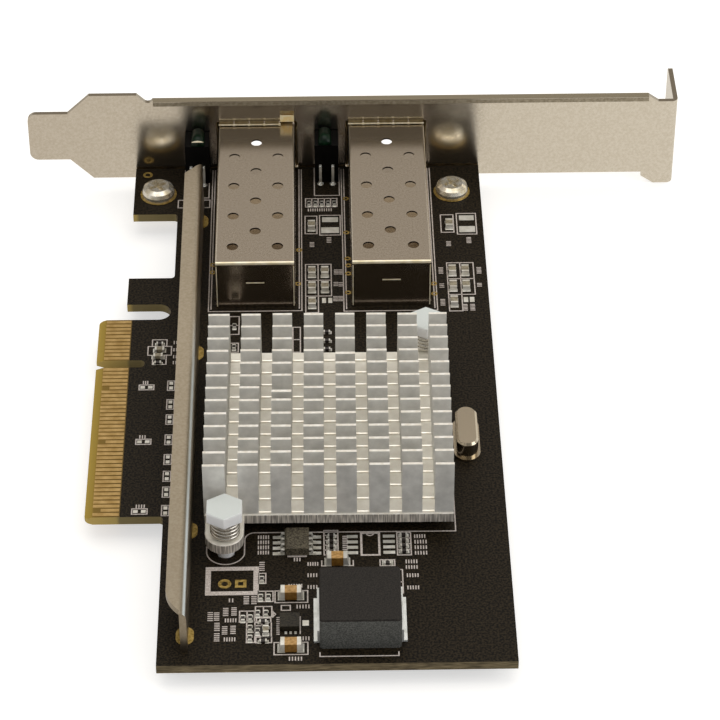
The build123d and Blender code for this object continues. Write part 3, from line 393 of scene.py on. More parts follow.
# Painted light: faces that look up get a paler copy of the spots
paintedFloorLight = sameSpots(tree, faceTone, [(0.3, "#ECE6D8"), (0.7, "#FCF8EC")])
blend(tree, shader, facing(tree, (0, 0, 1), 0.5, 0.8), faceTone, paintedFloorLight)
grain(tree, shader, 0.22, 0.006, (0.25, 1, 1))

# Aluminium on the fin tops and the bevelled rim of the base: paler, as painted light where they face up
paintedTopLight, tree, shader = newFinish("sawnAluminium", "#F3EDE1", 0.25, 0.5)
mottle(tree, shader, ("#E8E1D2", "#FAF6EC"), 0.8)

# The ridges that the blade left in the channels: fresh burrs, rolled towards the near side, so
# that they catch the light from above
sawnRidge, tree, shader = newFinish("freshSawnRidge", "#FFFBF0", 0.9, 0.35)
mottle(tree, shader, ("#FAF3E4", "#FFFDF6"), 0.8)
upward = addNode(tree, "ShaderNodeNewGeometry")
rolled = addNode(tree, "ShaderNodeVectorMath", {0: upward.outputs["Normal"], 1: (0, -0.45, 0)})
evened = addNode(tree, "ShaderNodeVectorMath", {0: rolled}, operation="NORMALIZE")
tree.links.new(evened.outputs[0], shader.inputs["Normal"])

# The sawn side of the base: upright ribs 0.25 mm apart
ribbedSide, tree, shader = newFinish("sawRibbedAluminium", "#BDB8B0", 0.4, 0.45)
place = addNode(tree, "ShaderNodeTexCoord")
ribs = addNode(tree, "ShaderNodeMapping", {"Vector": place.outputs["Object"], "Scale": (1, 1, 0.08)})
stripes = addNode(tree, "ShaderNodeTexNoise", {"Vector": ribs, "Scale": 1 / (0.25 * mm), "Detail": 1.0})
ramp = addNode(tree, "ShaderNodeValToRGB", {0: stripes})
fillRamp(ramp, [(0.38, "#A29B93"), (0.62, "#EFE8DD")])
tree.links.new(ramp.outputs[0], shader.inputs["Base Color"])

# Moulded nylon: milky, faintly cool, light goes a little way in
nylon, tree, shader = newFinish("whiteNylon", "#D9DDD8", 0, 0.38)
# Painted light: faces that look sideways are white and those that look up grey, evening out side and top
blend(tree, shader, facing(tree, (0, 0, 1), 0.5, 0.8), linearColour("#FFFFFF"), linearColour("#D9DDD8"))
shader.inputs["Subsurface Weight"].default_value = 0.25
shader.inputs["Subsurface Radius"].default_value = (0.9, 0.9, 0.9)
shader.inputs["Subsurface Scale"].default_value = 0.8 * mm

# Music wire, zinc plated: bright silver
springWire, tree, shader = newFinish("platedMusicWire", "#E4E0D8", 1, 0.24)

# Drawn nickel silver can
canPlate, tree, shader = newFinish("drawnNickelSilver", "#CCC0AA", 1, 0.18)
grain(tree, shader, 0.3, 0.002)

# Pressed iron powder with a dark coat: grainy, flat charcoal, the pressed sides a little
# lighter and bluer than the top
powder, tree, shader = newFinish("pressedIronPowder", "#2A2B29", 0, 0.6, 0.25)
topTone = mottle(tree, shader, ("#15120F", "#2E2924"), 0.22, 4.0)
sideTone = sameSpots(tree, topTone, [(0.35, "#3B3C3A"), (0.65, "#62625E")])
blend(tree, shader, facing(tree, (0, 0, 1), 0.6, 0.61), sideTone, topTone)
grain(tree, shader, 0.2, 0.02)

# Moulded epoxy with silica filler: dark grey, finely pitted
epoxy, tree, shader = newFinish("mouldedEpoxy", "#353230", 0, 0.55, 0.3)
mottle(tree, shader, ("#2E2921", "#6C6452"), 0.25, 4.0)
grain(tree, shader, 0.18, 0.015)

# The same epoxy, newer and blacker
darkEpoxy, tree, shader = newFinish("blackMouldedEpoxy", "#262119", 0, 0.5, 0.3)
mottle(tree, shader, ("#17130E", "#3A3427"), 0.25, 4.0)

# Black PBT moulding: deep black with hardly any shine
pbt, tree, shader = newFinish("blackPbt", "#060505", 0, 0.55, 0.12)

# Silicone pad with ceramic filler
silicone, tree, shader = newFinish("greySiliconePad", "#8A8C8E", 0, 0.7)

# Tinned copper and solder: soft silver
tin, tree, shader = newFinish("tinnedCopper", "#E2DFD4", 0.45, 0.28)
mottle(tree, shader, ("#D4D0C3", "#F0EDE4"), 1.4)

# Bright tin on flat copper strip: cool silver
brightTin, tree, shader = newFinish("brightTinnedStrip", "#E9ECEA", 0.5, 0.22)
mottle(tree, shader, ("#DADDD8", "#F4F6F4"), 1.5)

# Tinted cast epoxy lens: nearly black green while unlit
lensGreen, tree, shader = newFinish("greenEpoxyLens", "#082412", 0, 0.3, 0.2)
mottle(tree, shader, ("#03130A", "#072412"), 1.0)

# Fired barium titanate: orange brown, the sides darker as painted shade
brownCeramic, tree, shader = newFinish("firedBrownCeramic", "#9A6F33", 0, 0.4)
topTone = mottle(tree, shader, ("#9C7233", "#CB9E5E"), 0.5)
# Painted shade: the sides get a darker copy of the same spots
sideTone = sameSpots(tree, topTone, [(0.35, "#76511C"), (0.65, "#93692C")])
blend(tree, shader, facing(tree, (0, 0, 1), 0.5, 0.7), sideTone, topTone)

# Smaller capacitors: grey tan ceramic
tanCeramic, tree, shader = newFinish("firedTanCeramic", "#8E8470", 0, 0.45)
mottle(tree, shader, ("#7C725E", "#A2987F"), 0.5)

# Glass glaze on the resistors
glaze, tree, shader = newFinish("resistorGlaze", "#2C2623", 0, 0.35)

# Epoxy ink, screen printed: warm white, slightly uneven
ink, tree, shader = newFinish("screenPrintedInk", "#CDC1B8", 0, 0.6)
mottle(tree, shader, ("#B5A9A0", "#DCD2CA"), 0.3)

cadFinishes = {
    "circuit_board": mask,
    "component_side_contacts": gold,
    "solder_side_contacts": gold,
    "bracket": bracketPlate,
    "bracket_screws": screwPlate,
    "controller_chip": epoxy,
    "thermal_pad": silicone,
    "heat_sink": aluminium,
    "heat_sink_bolts": nylon,
    "heat_sink_springs": springWire,
    "heat_sink_nuts": nylon,
    "stiffener_bar": stiffenerPlate,
    "crystal_can": canPlate,
    "inductor_body": powder,
    "inductor_terminals": brightTin,
    "flash_chip": epoxy,
    "flash_chip_leads": tin,
    "power_chip": darkEpoxy,
    "lamp_lead_wires": tin,
    "large_capacitors": brownCeramic,
    "large_capacitor_ends": tin,
    "chip_capacitors": tanCeramic,
    "chip_capacitor_ends": tin,
    "chip_resistors": glaze,
    "chip_resistor_ends": tin,
}
for side in ("left", "right"):
    cadFinishes["sfp_cage_" + side] = cagePlate
    cadFinishes["spring_collar_" + side] = springPlate
    cadFinishes["sfp_socket_" + side] = pbt
    cadFinishes["socket_contacts_" + side] = gold
    cadFinishes["lamp_housing_" + side] = pbt
    cadFinishes["lamp_lenses_" + side] = lensGreen
for name, finish in cadFinishes.items():
    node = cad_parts[name]
    node.data.materials.clear()
    node.data.materials.append(finish)
print("finishes made:", len(cadFinishes))


# Tools for the pieces
def newPiece(name, mesh, finishes, replaced=()):
    piece = linked(name, mesh)
    if len(finishes) == 1:  # clearing also sets every face back to the first finish
        mesh.materials.clear()
    for finish in finishes:
        mesh.materials.append(finish)
    if replaced:
        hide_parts(*replaced)
    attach(piece, "root")


def meshOf(name, shape, smooth=False, finishes=()):
    bmesh.ops.recalc_face_normals(shape, faces=shape.faces)
    for face in shape.faces:
        face.smooth = smooth
    mesh = bpy.data.meshes.new(name)
    shape.to_mesh(mesh)
    shape.free()
    for finish in finishes:
        mesh.materials.append(finish)
    return mesh


def addPrism(shape, outline, low, high, material=0, axis=2):  # outline in mm, round a solid
    def corner(pair, level):  # axis 0: outline in YZ, axis 1: in XZ, axis 2: in XY
        values = list(pair)
        values.insert(axis, level)
        return shape.verts.new(Vector(values) * mm)

    bottom = [corner(pair, low) for pair in outline]
    top = [corner(pair, high) for pair in outline]
    count = len(outline)
    faces = [shape.faces.new(bottom[::-1]), shape.faces.new(top)]
    for step in range(count):
        after = (step + 1) % count
        faces.append(shape.faces.new((bottom[step], bottom[after], top[after], top[step])))
    for face in faces:
        face.material_index = material


def addBox(shape, low, high, material=0):
    outline = [(low[0], low[1]), (high[0], low[1]), (high[0], high[1]), (low[0], high[1])]
    addPrism(shape, outline, low[2], high[2], material)


def arcPoints(centre, radius, start, end, steps):  # angles in degrees
    angles = [math.radians(start + (end - start) * step / steps) for step in range(steps + 1)]
    return [(centre[0] + radius * math.cos(a), centre[1] + radius * math.sin(a)) for a in angles]


def addRibbon(shape, points, width, thickness, closed=False):  # a flat line with mitred corners
    points = [Vector(p) for p in points]
    count = len(points)
    sharpest = 0.35  # a mitre grows no longer than at this cosine
    sides = []
    for step, point in enumerate(points):
        before = points[step - 1] if closed or step else None
        after = points[(step + 1) % count] if closed or step < count - 1 else None
        ways = [(b - a).normalized() for a, b in ((before, point), (point, after)) if a and b]
        across = sum((Vector((-way.y, way.x)) for way in ways), Vector((0, 0))).normalized()
        reach = width / 2 / max(sharpest, across.dot(Vector((-ways[0].y, ways[0].x))))
        sides.append((point + across * reach, point - across * reach))
    rings = [[shape.verts.new((p.x * mm, p.y * mm, z * mm))
              for p, z in ((left, 0), (right, 0), (right, thickness), (left, thickness))]
             for left, right in sides]
    spans = range(count if closed else count - 1)
    for step in spans:
        near, far = rings[step], rings[(step + 1) % count]
        for corner in range(4):
            other = (corner + 1) % 4
            shape.faces.new((near[corner], near[other], far[other], far[corner]))
    if not closed:
        shape.faces.new(rings[0][::-1])
        shape.faces.new(rings[-1])


def addTurned(shape, centre, profile, steps):  # a profile turned about a vertical axis
    rings = [[shape.verts.new(((centre[0] + r * math.cos(2 * math.pi * s / steps)) * mm,
                               (centre[1] + r * math.sin(2 * math.pi * s / steps)) * mm, z * mm))
              for s in range(steps)] if r > 1e-6 else
             [shape.verts.new((centre[0] * mm, centre[1] * mm, z * mm))] for r, z in profile]
    for lower, upper in zip(rings, rings[1:]):
        for s in range(steps):
            t = (s + 1) % steps
            if len(lower) == 1:
                corners = (lower[0], upper[t], upper[s])
            elif len(upper) == 1:
                corners = (lower[s], lower[t], upper[0])
            else:
                corners = (lower[s], lower[t], upper[t], upper[s])
            shape.faces.new(corners)


socketKinds = {float: "NodeSocketFloat", int: "NodeSocketInt",
               bpy.types.Object: "NodeSocketObject", bpy.types.Material: "NodeSocketMaterial"}


def newTree(name, sizes):  # a Geometry Nodes tree with a named input for each size
    tree = bpy.data.node_groups.new(name, "GeometryNodeTree")
    tree.interface.new_socket("Points", in_out="INPUT", socket_type="NodeSocketGeometry")
    for label, value in sizes.items():
        kind = next(k for t, k in socketKinds.items() if isinstance(value, t))
        tree.interface.new_socket(label, in_out="INPUT", socket_type=kind)
    tree.interface.new_socket("Geometry", in_out="OUTPUT", socket_type="NodeSocketGeometry")
    return tree, addNode(tree, "NodeGroupInput").outputs


def grow(tree, sizes, places, attributes=None):  # runs a tree on points in mm, to a plain mesh
    cloud = bpy.data.meshes.new(tree.name)
    cloud.from_pydata([tuple(c * mm for c in place) for place in places], [], [])
    for label, values in (attributes or {}).items():
        vector = isinstance(values[0], tuple)
        layer = cloud.attributes.new(label, "FLOAT_VECTOR" if vector else "FLOAT", "POINT")
        flatValues = [c for value in values for c in value] if vector else values
        layer.data.foreach_set("vector" if vector else "value", flatValues)
    holder = linked(tree.name, cloud)
    modifier = holder.modifiers.new("grow", "NODES")
    modifier.node_group = tree
    for item in tree.interface.items_tree:
        if item.in_out == "INPUT" and item.name in sizes:
            modifier[item.identifier] = sizes[item.name]
    graph = bpy.context.evaluated_depsgraph_get()
    mesh = bpy.data.meshes.new_from_object(holder.evaluated_get(graph))
    bpy.data.objects.remove(holder)
    return mesh


def joinedMesh(name, meshes, finishes):  # several meshes in one, by the finishes that they carry
    joined = bmesh.new()
    for mesh in meshes:
        before = len(joined.faces)
        joined.from_mesh(mesh)
        joined.faces.ensure_lookup_table()
        indices = [finishes.index(m) if m else 0 for m in mesh.materials] or [0]
        for face in joined.faces[before:]:
            face.material_index = indices[min(face.material_index, len(indices) - 1)]
    result = bpy.data.meshes.new(name)
    joined.to_mesh(result)
    joined.free()
    return result


def planted(tree, inputs, shape, finish, more):  # a shape on each point, made real, with a finish
    cloud = addNode(tree, "GeometryNodeMeshToPoints", {"Mesh": inputs["Points"]})
    copies = addNode(tree, "GeometryNodeInstanceOnPoints", {"Points": cloud, "Instance": shape, **more})
    real = addNode(tree, "GeometryNodeRealizeInstances", {0: copies})
    return addNode(tree, "GeometryNodeSetMaterial", {"Geometry": real, "Material": inputs[finish]})


def stampTree():  # puts one shape on each point, turned and sized by the points' own values
    tree, inputs = newTree("stampOnPoints", {"Shape": camera, "Finish": gold})
    shape = addNode(tree, "GeometryNodeObjectInfo", {"Object": inputs["Shape"]})
    size = addNode(tree, "GeometryNodeInputNamedAttribute", {"Name": "size"}, data_type="FLOAT_VECTOR")
    angles = addNode(tree, "GeometryNodeInputNamedAttribute", {"Name": "turn"}, data_type="FLOAT_VECTOR")
    finished = planted(tree, inputs, shape.outputs["Geometry"], "Finish",
                       {"Rotation": angles, "Scale": size})
    addNode(tree, "NodeGroupOutput", {0: finished})
    return tree


stamp = stampTree()


def stamped(shapeMesh, finish, marks):  # marks: place in mm, turn in degrees, size
    holder = linked("shapeHolder", shapeMesh)
    turns = [mark[1] if isinstance(mark[1], tuple) else (0, 0, mark[1]) for mark in marks]
    mesh = grow(stamp, {"Shape": holder, "Finish": finish}, [mark[0] for mark in marks],
                {"turn": [tuple(math.radians(angle) for angle in turn) for turn in turns],
                 "size": [tuple(float(c) for c in mark[2]) for mark in marks]})
    bpy.data.objects.remove(holder)
    return mesh


def unitBlock():  # one unit each way, standing on its place
    shape = bmesh.new()
    half = 0.5 / mm
    addBox(shape, (-half, -half, 0), (half, half, 2 * half))
    return meshOf("unitBlock", shape)


def unitRing(hole):  # flat ring of radius 1, with a hole
    shape = bmesh.new()
    steps = 24
    loops = [[shape.verts.new((r * math.cos(2 * math.pi * s / steps),
                               r * math.sin(2 * math.pi * s / steps), z)) for s in range(steps)]
             for r, z in ((hole, 0), (1, 0), (1, 1), (hole, 1))]
    for near, far in zip(loops, loops[1:] + loops[:1]):
        for s in range(steps):
            t = (s + 1) % steps
            shape.faces.new((near[s], near[t], far[t], far[s]))
    return meshOf("unitRing", shape)


def blocks(finish, places):  # flat blocks: low corner and high corner in mm
    marks = [(((low[0] + high[0]) / 2, (low[1] + high[1]) / 2, low[2]), 0,
              ((high[0] - low[0]) * mm, (high[1] - low[1]) * mm, (high[2] - low[2]) * mm))
             for low, high in places]
    return stamped(unitBlock(), finish, marks)


def flatRings(finish, hole, places, thickness):  # flat rings: centre and radius in mm
    return stamped(unitRing(hole), finish,
                   [((x, y, 0), 0, (r * mm, r * mm, thickness * mm)) for x, y, r in places])


# Heat sink: an extruded comb sawn across, with low ridges left in the saw cuts
heatSink = {
    "width": 40.0, "depth": 41.2, "baseHeight": 1.8, "bevel": 0.14,
    "finHeight": 10.2, "finThickness": 0.52, "finPitch": 3.19, "finRows": 13,
    "topFacing": 0.7,  # how far up a face looks that gets the painted top light
    "frontInset": 0.25, "channelWidth": 2.0, "channelPitch": 5.24, "channels": 7,
    "channelShift": 0.27, "ridgeHeight": 0.18, "ridgeThickness": 0.3,
    "unevenness": 0.5,  # degrees that fins lean
    "bent": {(2, 6): 4.6, (4, 9): 4.0},  # column and row of the knocked fins, in degrees
    "turned": -0.35,  # degrees that the sink sits askew
    "earRadius": 3.1, "seed": 4,
}


def sawnFinTree():
    tree, inputs = newTree("sawnFins", {"Fin Thickness": 0.1, "Lean": 0.1, "Seed": 1,
                                        "Faces": aluminium, "Tops": paintedTopLight})
    bar = addNode(tree, "GeometryNodeMeshCube", {"Size": (1, 1, 1)})
    standing = addNode(tree, "GeometryNodeTransform", {"Geometry": bar, "Translation": (0, 0, 0.5)})
    width = addNode(tree, "GeometryNodeInputNamedAttribute", {"Name": "barWidth"})
    height = addNode(tree, "GeometryNodeInputNamedAttribute", {"Name": "barHeight"})
    bend = addNode(tree, "GeometryNodeInputNamedAttribute", {"Name": "bend"})
    least = addNode(tree, "ShaderNodeMath", {0: inputs["Lean"], 1: -1.0}, operation="MULTIPLY")
    chance = addNode(tree, "FunctionNodeRandomValue", {2: least, 3: inputs["Lean"], 8: inputs["Seed"]})
    lean = addNode(tree, "ShaderNodeMath", {0: chance.outputs[1], 1: bend}, operation="ADD")
    size = addNode(tree, "ShaderNodeCombineXYZ", {0: width, 1: inputs["Fin Thickness"], 2: height})
    angle = addNode(tree, "ShaderNodeCombineXYZ", {0: lean})
    faces = planted(tree, inputs, standing, "Faces", {"Rotation": angle, "Scale": size})
    normal = addNode(tree, "GeometryNodeInputNormal")
    upward = addNode(tree, "ShaderNodeSeparateXYZ", {0: normal})
    topSide = addNode(tree, "ShaderNodeMath", {0: upward.outputs["Z"], 1: heatSink["topFacing"]},
                      operation="GREATER_THAN")
    tops = addNode(tree, "GeometryNodeSetMaterial",
                   {"Geometry": faces, "Selection": topSide, "Material": inputs["Tops"]})
    addNode(tree, "NodeGroupOutput", {0: tops})
    return tree


def makeHeatSink():
    padBox = boxInMm("thermal_pad")
    centre = middleOf(padBox)
    baseLow = padBox[1].z
    baseHigh = baseLow + heatSink["baseHeight"]
    left = centre[0] - heatSink["width"] / 2
    near = centre[1] - heatSink["depth"] / 2
    channels = [centre[0] + heatSink["channelShift"]
                + (step - (heatSink["channels"] - 1) / 2) * heatSink["channelPitch"]
                for step in range(heatSink["channels"])]
    halfCut = heatSink["channelWidth"] / 2
    lows = [left] + [x + halfCut for x in channels]
    highs = [x - halfCut for x in channels] + [left + heatSink["width"]]
    rows = [near + heatSink["frontInset"] + heatSink["finThickness"] / 2 + row * heatSink["finPitch"]
            for row in range(heatSink["finRows"])]
    bars = [(column, row, (low + high) / 2, y, (high - low) * mm) for row, y in enumerate(rows)
            for column, (low, high) in enumerate(zip(lows, highs))]
    tree = sawnFinTree()
    fins = grow(tree, {"Fin Thickness": heatSink["finThickness"] * mm,
                       "Lean": math.radians(heatSink["unevenness"]),
                       "Seed": heatSink["seed"], "Faces": aluminium, "Tops": paintedTopLight},
                [(x, y, baseHigh) for _, _, x, y, _ in bars],
                {"barWidth": [width for *_, width in bars],
                 "barHeight": [heatSink["finHeight"] * mm] * len(bars),
                 "bend": [math.radians(heatSink["bent"].get(bar[:2], 0)) for bar in bars]})
    cuts = [(x, y, baseHigh) for y in rows for x in channels]  # the ridges that the saw left
    ridges = grow(tree, {"Fin Thickness": heatSink["ridgeThickness"] * mm, "Lean": 0.0,
                         "Seed": heatSink["seed"], "Faces": sawnRidge, "Tops": sawnRidge}, cuts,
                  {"barWidth": [2 * halfCut * mm] * len(cuts),
                   "barHeight": [heatSink["ridgeHeight"] * mm] * len(cuts),
                   "bend": [0.0] * len(cuts)})
    base = bmesh.new()
    addBox(base, (left, near, baseLow), (left + heatSink["width"], near + heatSink["depth"], baseHigh))
    ear = heatSink["earRadius"]
    for place, edge, start in zip(boltPlaces, (near, near + heatSink["depth"]), (180, 0)):
        outline = arcPoints(place, ear, start, start + 180, 24)
        first, last = outline[0], outline[-1]
        addPrism(base, [(first[0], edge), *outline, (last[0], edge)], baseLow, baseHigh)
    base.normal_update()
    for face in base.faces:
        face.material_index = 0 if abs(face.normal.z) > 0.5 else 2
    nearTop = (baseHigh - heatSink["bevel"] / 2) * mm
    rims = [edge for edge in base.edges if all(vertex.co.z > nearTop for vertex in edge.verts)]
    bmesh.ops.bevel(base, geom=rims, offset=heatSink["bevel"] * mm, segments=1, affect="EDGES",
                    material=1)
    finishes = [aluminium, paintedTopLight, ribbedSide, sawnRidge]
    baseMesh = meshOf("sinkBase", base, finishes=finishes)
    mesh = joinedMesh("heatSink", [fins, ridges, baseMesh], finishes)
    about = Vector((centre[0], centre[1], 0)) * mm
    askew = Matrix.Rotation(math.radians(heatSink["turned"]), 4, "Z")
    mesh.transform(Matrix.Translation(about) @ askew @ Matrix.Translation(-about))
    newPiece("heatSink", mesh, finishes, ["heat_sink"])


boltPlaces = sorted(map(middleOf, looseBoxes("heat_sink_nuts")), key=lambda place: place[1])
makeHeatSink()
print("heat sink made")


# Coil springs under the bolt heads
coil = {"wireRadius": 0.3, "radius": 2.12, "turns": 4.2, "stepsPerTurn": 28, "sides": 10}


def coilTree():
    tree, inputs = newTree("coilSprings", {"Wire Radius": 0.1, "Coil Radius": 0.1, "Turns": 0.1,
                                           "Rise": 0.1, "Steps": 1, "Sides": 1,
                                           "Finish": springWire})
    line = addNode(tree, "GeometryNodeCurveSpiral",
                   {"Resolution": inputs["Steps"], "Rotations": inputs["Turns"],
                    "Start Radius": inputs["Coil Radius"], "End Radius": inputs["Coil Radius"],
                    "Height": inputs["Rise"]})
    ring = addNode(tree, "GeometryNodeCurvePrimitiveCircle", {"Resolution": inputs["Sides"],
                                                              "Radius": inputs["Wire Radius"]})
    wire = addNode(tree, "GeometryNodeCurveToMesh",
                   {"Curve": line, "Profile Curve": ring, "Fill Caps": True})
    smooth = addNode(tree, "GeometryNodeSetShadeSmooth", {"Geometry": wire})
    finished = planted(tree, inputs, smooth, "Finish", {})
    addNode(tree, "NodeGroupOutput", {0: finished})
    return tree


springLow, springHigh = boxInMm("heat_sink_springs")
springRise = springHigh.z - springLow.z - 2 * coil["wireRadius"]
springs = grow(coilTree(), {"Wire Radius": coil["wireRadius"] * mm,
                            "Coil Radius": coil["radius"] * mm, "Turns": coil["turns"],
                            "Rise": springRise * mm, "Steps": coil["stepsPerTurn"],
                            "Sides": coil["sides"], "Finish": springWire},
               [(x, y, springLow.z + coil["wireRadius"]) for x, y in boltPlaces])
newPiece("coilSprings", springs, [springWire], ["heat_sink_springs"])
print("springs made")


# Solder: pads and fillets at the ends of the chips
solder = {
    "padOut": 0.38, "padSide": 0.08, "padUnder": 0.05, "padThickness": 0.03,
    "outLeast": 0.6, "outByHeight": 0.4, "tallest": 1.5,  # taller chips get longer pads
    "climb": 0.75, "filletShare": 0.9, "slopeSteps": 4,
}


def filletShape():  # unit wedge with a hollow slope: out along X, up to 1
    shape = bmesh.new()
    steps = solder["slopeSteps"]
    slope = [(step / steps, (1 - step / steps) ** 2) for step in range(steps + 1)]
    sides = [[shape.verts.new((x, y, z)) for x, z in [(0, 0), *slope[:-1], (1, 0)]] for y in (-0.5, 0.5)]
    count = len(sides[0])
    shape.faces.new(sides[0])
    shape.faces.new(sides[1][::-1])
    for step in range(count):
        after = (step + 1) % count
        shape.faces.new((sides[0][step], sides[1][step], sides[1][after], sides[0][after]))
    bmesh.ops.remove_doubles(shape, verts=shape.verts, dist=1e-6)
    return meshOf("filletShape", shape)


def chipEnds(bodyNode, endNode):  # each end cap with the way it faces
    bodies = [(low + high) / 2 for low, high in looseBoxes(bodyNode)]
    found = []
    for low, high in looseBoxes(endNode):
        centre = (low + high) / 2
        body = min(bodies, key=lambda b: (b - centre).length)
        away = centre - body
        alongX = abs(away.x) > abs(away.y)
        way = (math.copysign(1, away.x), 0) if alongX else (0, math.copysign(1, away.y))
        found.append((low, high, centre, Vector(way)))
    return found


pads = bmesh.new()
fillets = []
for bodyNode, endNode in (("large_capacitors", "large_capacitor_ends"),
                          ("chip_capacitors", "chip_capacitor_ends"),
                          ("chip_resistors", "chip_resistor_ends")):
    for low, high, centre, way in chipEnds(bodyNode, endNode):
        size = high - low
        alongX = abs(way.x) > 0.5
        length, width = (size.x, size.y) if alongX else (size.y, size.x)
        taller = solder["outByHeight"] * min(solder["tallest"], size.z)
        out = solder["padOut"] * (solder["outLeast"] + taller)
        side = solder["padSide"]
        face = Vector((centre.x, centre.y)) + way * length / 2
        outer = face + way * out
        inner = face - way * (length + solder["padUnder"])
        across = Vector((-way.y, way.x)) * (width / 2 + side)
        corners = [inner - across, outer - across, outer + across, inner + across]
        if (corners[1] - corners[0]).cross(corners[2] - corners[1]) < 0:
            corners.reverse()
        addPrism(pads, [tuple(c) for c in corners], 0.0, solder["padThickness"])
        fillets.append(((face.x, face.y, solder["padThickness"]),
                        math.degrees(math.atan2(way.y, way.x)),
                        (out * solder["filletShare"], width, size.z * solder["climb"])))
padsMesh = meshOf("chipPads", pads, finishes=[tin])
filletMesh = stamped(filletShape(), tin, [(p, t, tuple(c * mm for c in s)) for p, t, s in fillets])
newPiece("chipSolder", joinedMesh("chipSolder", [padsMesh, filletMesh], [tin]), [tin])
print("solder made:", len(fillets))

# Spring collars round the cage mouths: bowed fingers that close the gap to the bracket
collar = {
    "thickness": 0.12, "fingerWidth": 2.56, "pitch": 2.8, "across": 5, "down": 3,
    "rootY": 61.0, "bandEnd": 63.5, "length": 4.1, "rise": 0.42, "crest": 0.68, "tipCurl": 0.2,
    "steps": 8, "liftedFinger": 4,
    "liftedLine": [(0, 0), (-1.6, 0.2), (-3.1, 0.28), (-3.5, 0.45), (-3.66, 0.9), (-3.74, 1.5),
                   (-3.95, 2.12)],  # y and z from the root: the knocked finger, bent up
    "skirt": (59.0, 0.65, -1.7),  # y, width, low end
    "bandLow": 0.1, "tipLine": 0.18, "tipDot": 0.4, "dotSunk": 0.02, "dotProud": 0.04,
}


def bowedFinger(name, lifted):  # one unit wide, its line in y and z
    line = list(collar["liftedLine"]) if lifted else []
    for step in range(0 if lifted else collar["steps"] + 1):
        share = step / collar["steps"]
        if share < collar["crest"]:
            height = collar["rise"] * math.sin(math.pi / 2 * share / collar["crest"])
        else:
            past = (share - collar["crest"]) / (1 - collar["crest"])
            height = collar["rise"] * math.cos(math.pi / 2 * past) + collar["tipCurl"] * past ** 3
        line.append((-collar["length"] * share, height))
    upper = [(y, z + collar["thickness"]) for y, z in line]
    shape = bmesh.new()
    addPrism(shape, line + upper[::-1], -0.5, 0.5, axis=0)
    return meshOf(name, shape)


def makeCollar(side):
    low, high = boxInMm("sfp_cage_" + side)
    cageTop = high.z
    middle = (low.x + high.x) / 2
    halfWidth = cageWidth / 2
    thick = collar["thickness"]
    width = collar["fingerWidth"]
    flatMarks, liftedMarks = [], []
    for step in range(collar["across"]):
        x = middle + (step - (collar["across"] - 1) / 2) * collar["pitch"]
        lifted = side == "left" and step == collar["liftedFinger"]
        (liftedMarks if lifted else flatMarks).append(
            ((x, collar["rootY"], cageTop), (0, 0, 0), (width, 1, 1)))
    for step in range(collar["down"]):
        z = cageTop / 2 + (step - (collar["down"] - 1) / 2) * collar["pitch"]
        for way in (-1, 1):
            flatMarks.append(((middle + way * halfWidth, collar["rootY"], z), (0, way * 90, 0),
                              (width, 1, 1)))
    meshes = [stamped(bowedFinger("collarFinger", False), springPlate, flatMarks)]
    if liftedMarks:
        meshes.append(stamped(bowedFinger("liftedFinger", True), liftedFingerLight, liftedMarks))
    band = bmesh.new()
    bottom = collar["bandLow"]
    left, right = middle - halfWidth, middle + halfWidth
    inner = [(left, bottom), (left, cageTop), (right, cageTop), (right, bottom)]
    outer = [(right + thick, bottom), (right + thick, cageTop + thick),
             (left - thick, cageTop + thick), (left - thick, bottom)]
    addPrism(band, inner + outer, collar["rootY"], collar["bandEnd"], axis=1)
    skirtY, skirtWidth, skirtLow = collar["skirt"]
    for way in (-1, 1):  # the side wings that stand behind the bracket
        xs = sorted((middle + way * halfWidth, middle + way * (halfWidth + skirtWidth)))
        addBox(band, (xs[0], skirtY, skirtLow), (xs[1], skirtY + thick, cageTop))
    # The pale line along the finger tips and the dots between the fingers: painted highlight
    tipY, tipZ = collar["rootY"] - collar["length"], cageTop + collar["tipCurl"]
    line = collar["tipLine"]
    lineEnd = right
    if side == "left":  # the knocked finger has left the row
        lineEnd -= collar["pitch"]
    addBox(band, (left, tipY - line / 2, tipZ), (lineEnd, tipY + line / 2, tipZ + line), 1)
    dot = collar["tipDot"] / 2
    for step in range(1, collar["across"]):
        x = left + step * collar["pitch"]
        addBox(band, (x - dot, tipY - dot, tipZ - collar["dotSunk"]),
               (x + dot, tipY + dot, tipZ + line + collar["dotProud"]), 1)
    finishes = [springPlate, paleHighlightLine, liftedFingerLight]
    meshes.append(meshOf("collarBand", band, finishes=finishes[:2]))
    newPiece("springFingers." + side, joinedMesh("springCollar", meshes, finishes), finishes,
             ["spring_collar_" + side])


cageWidth = 14.0
cageBoxes = {side: boxInMm("sfp_cage_" + side) for side in ("left", "right")}
for side in cageBoxes:
    makeCollar(side)
print("spring collars made")

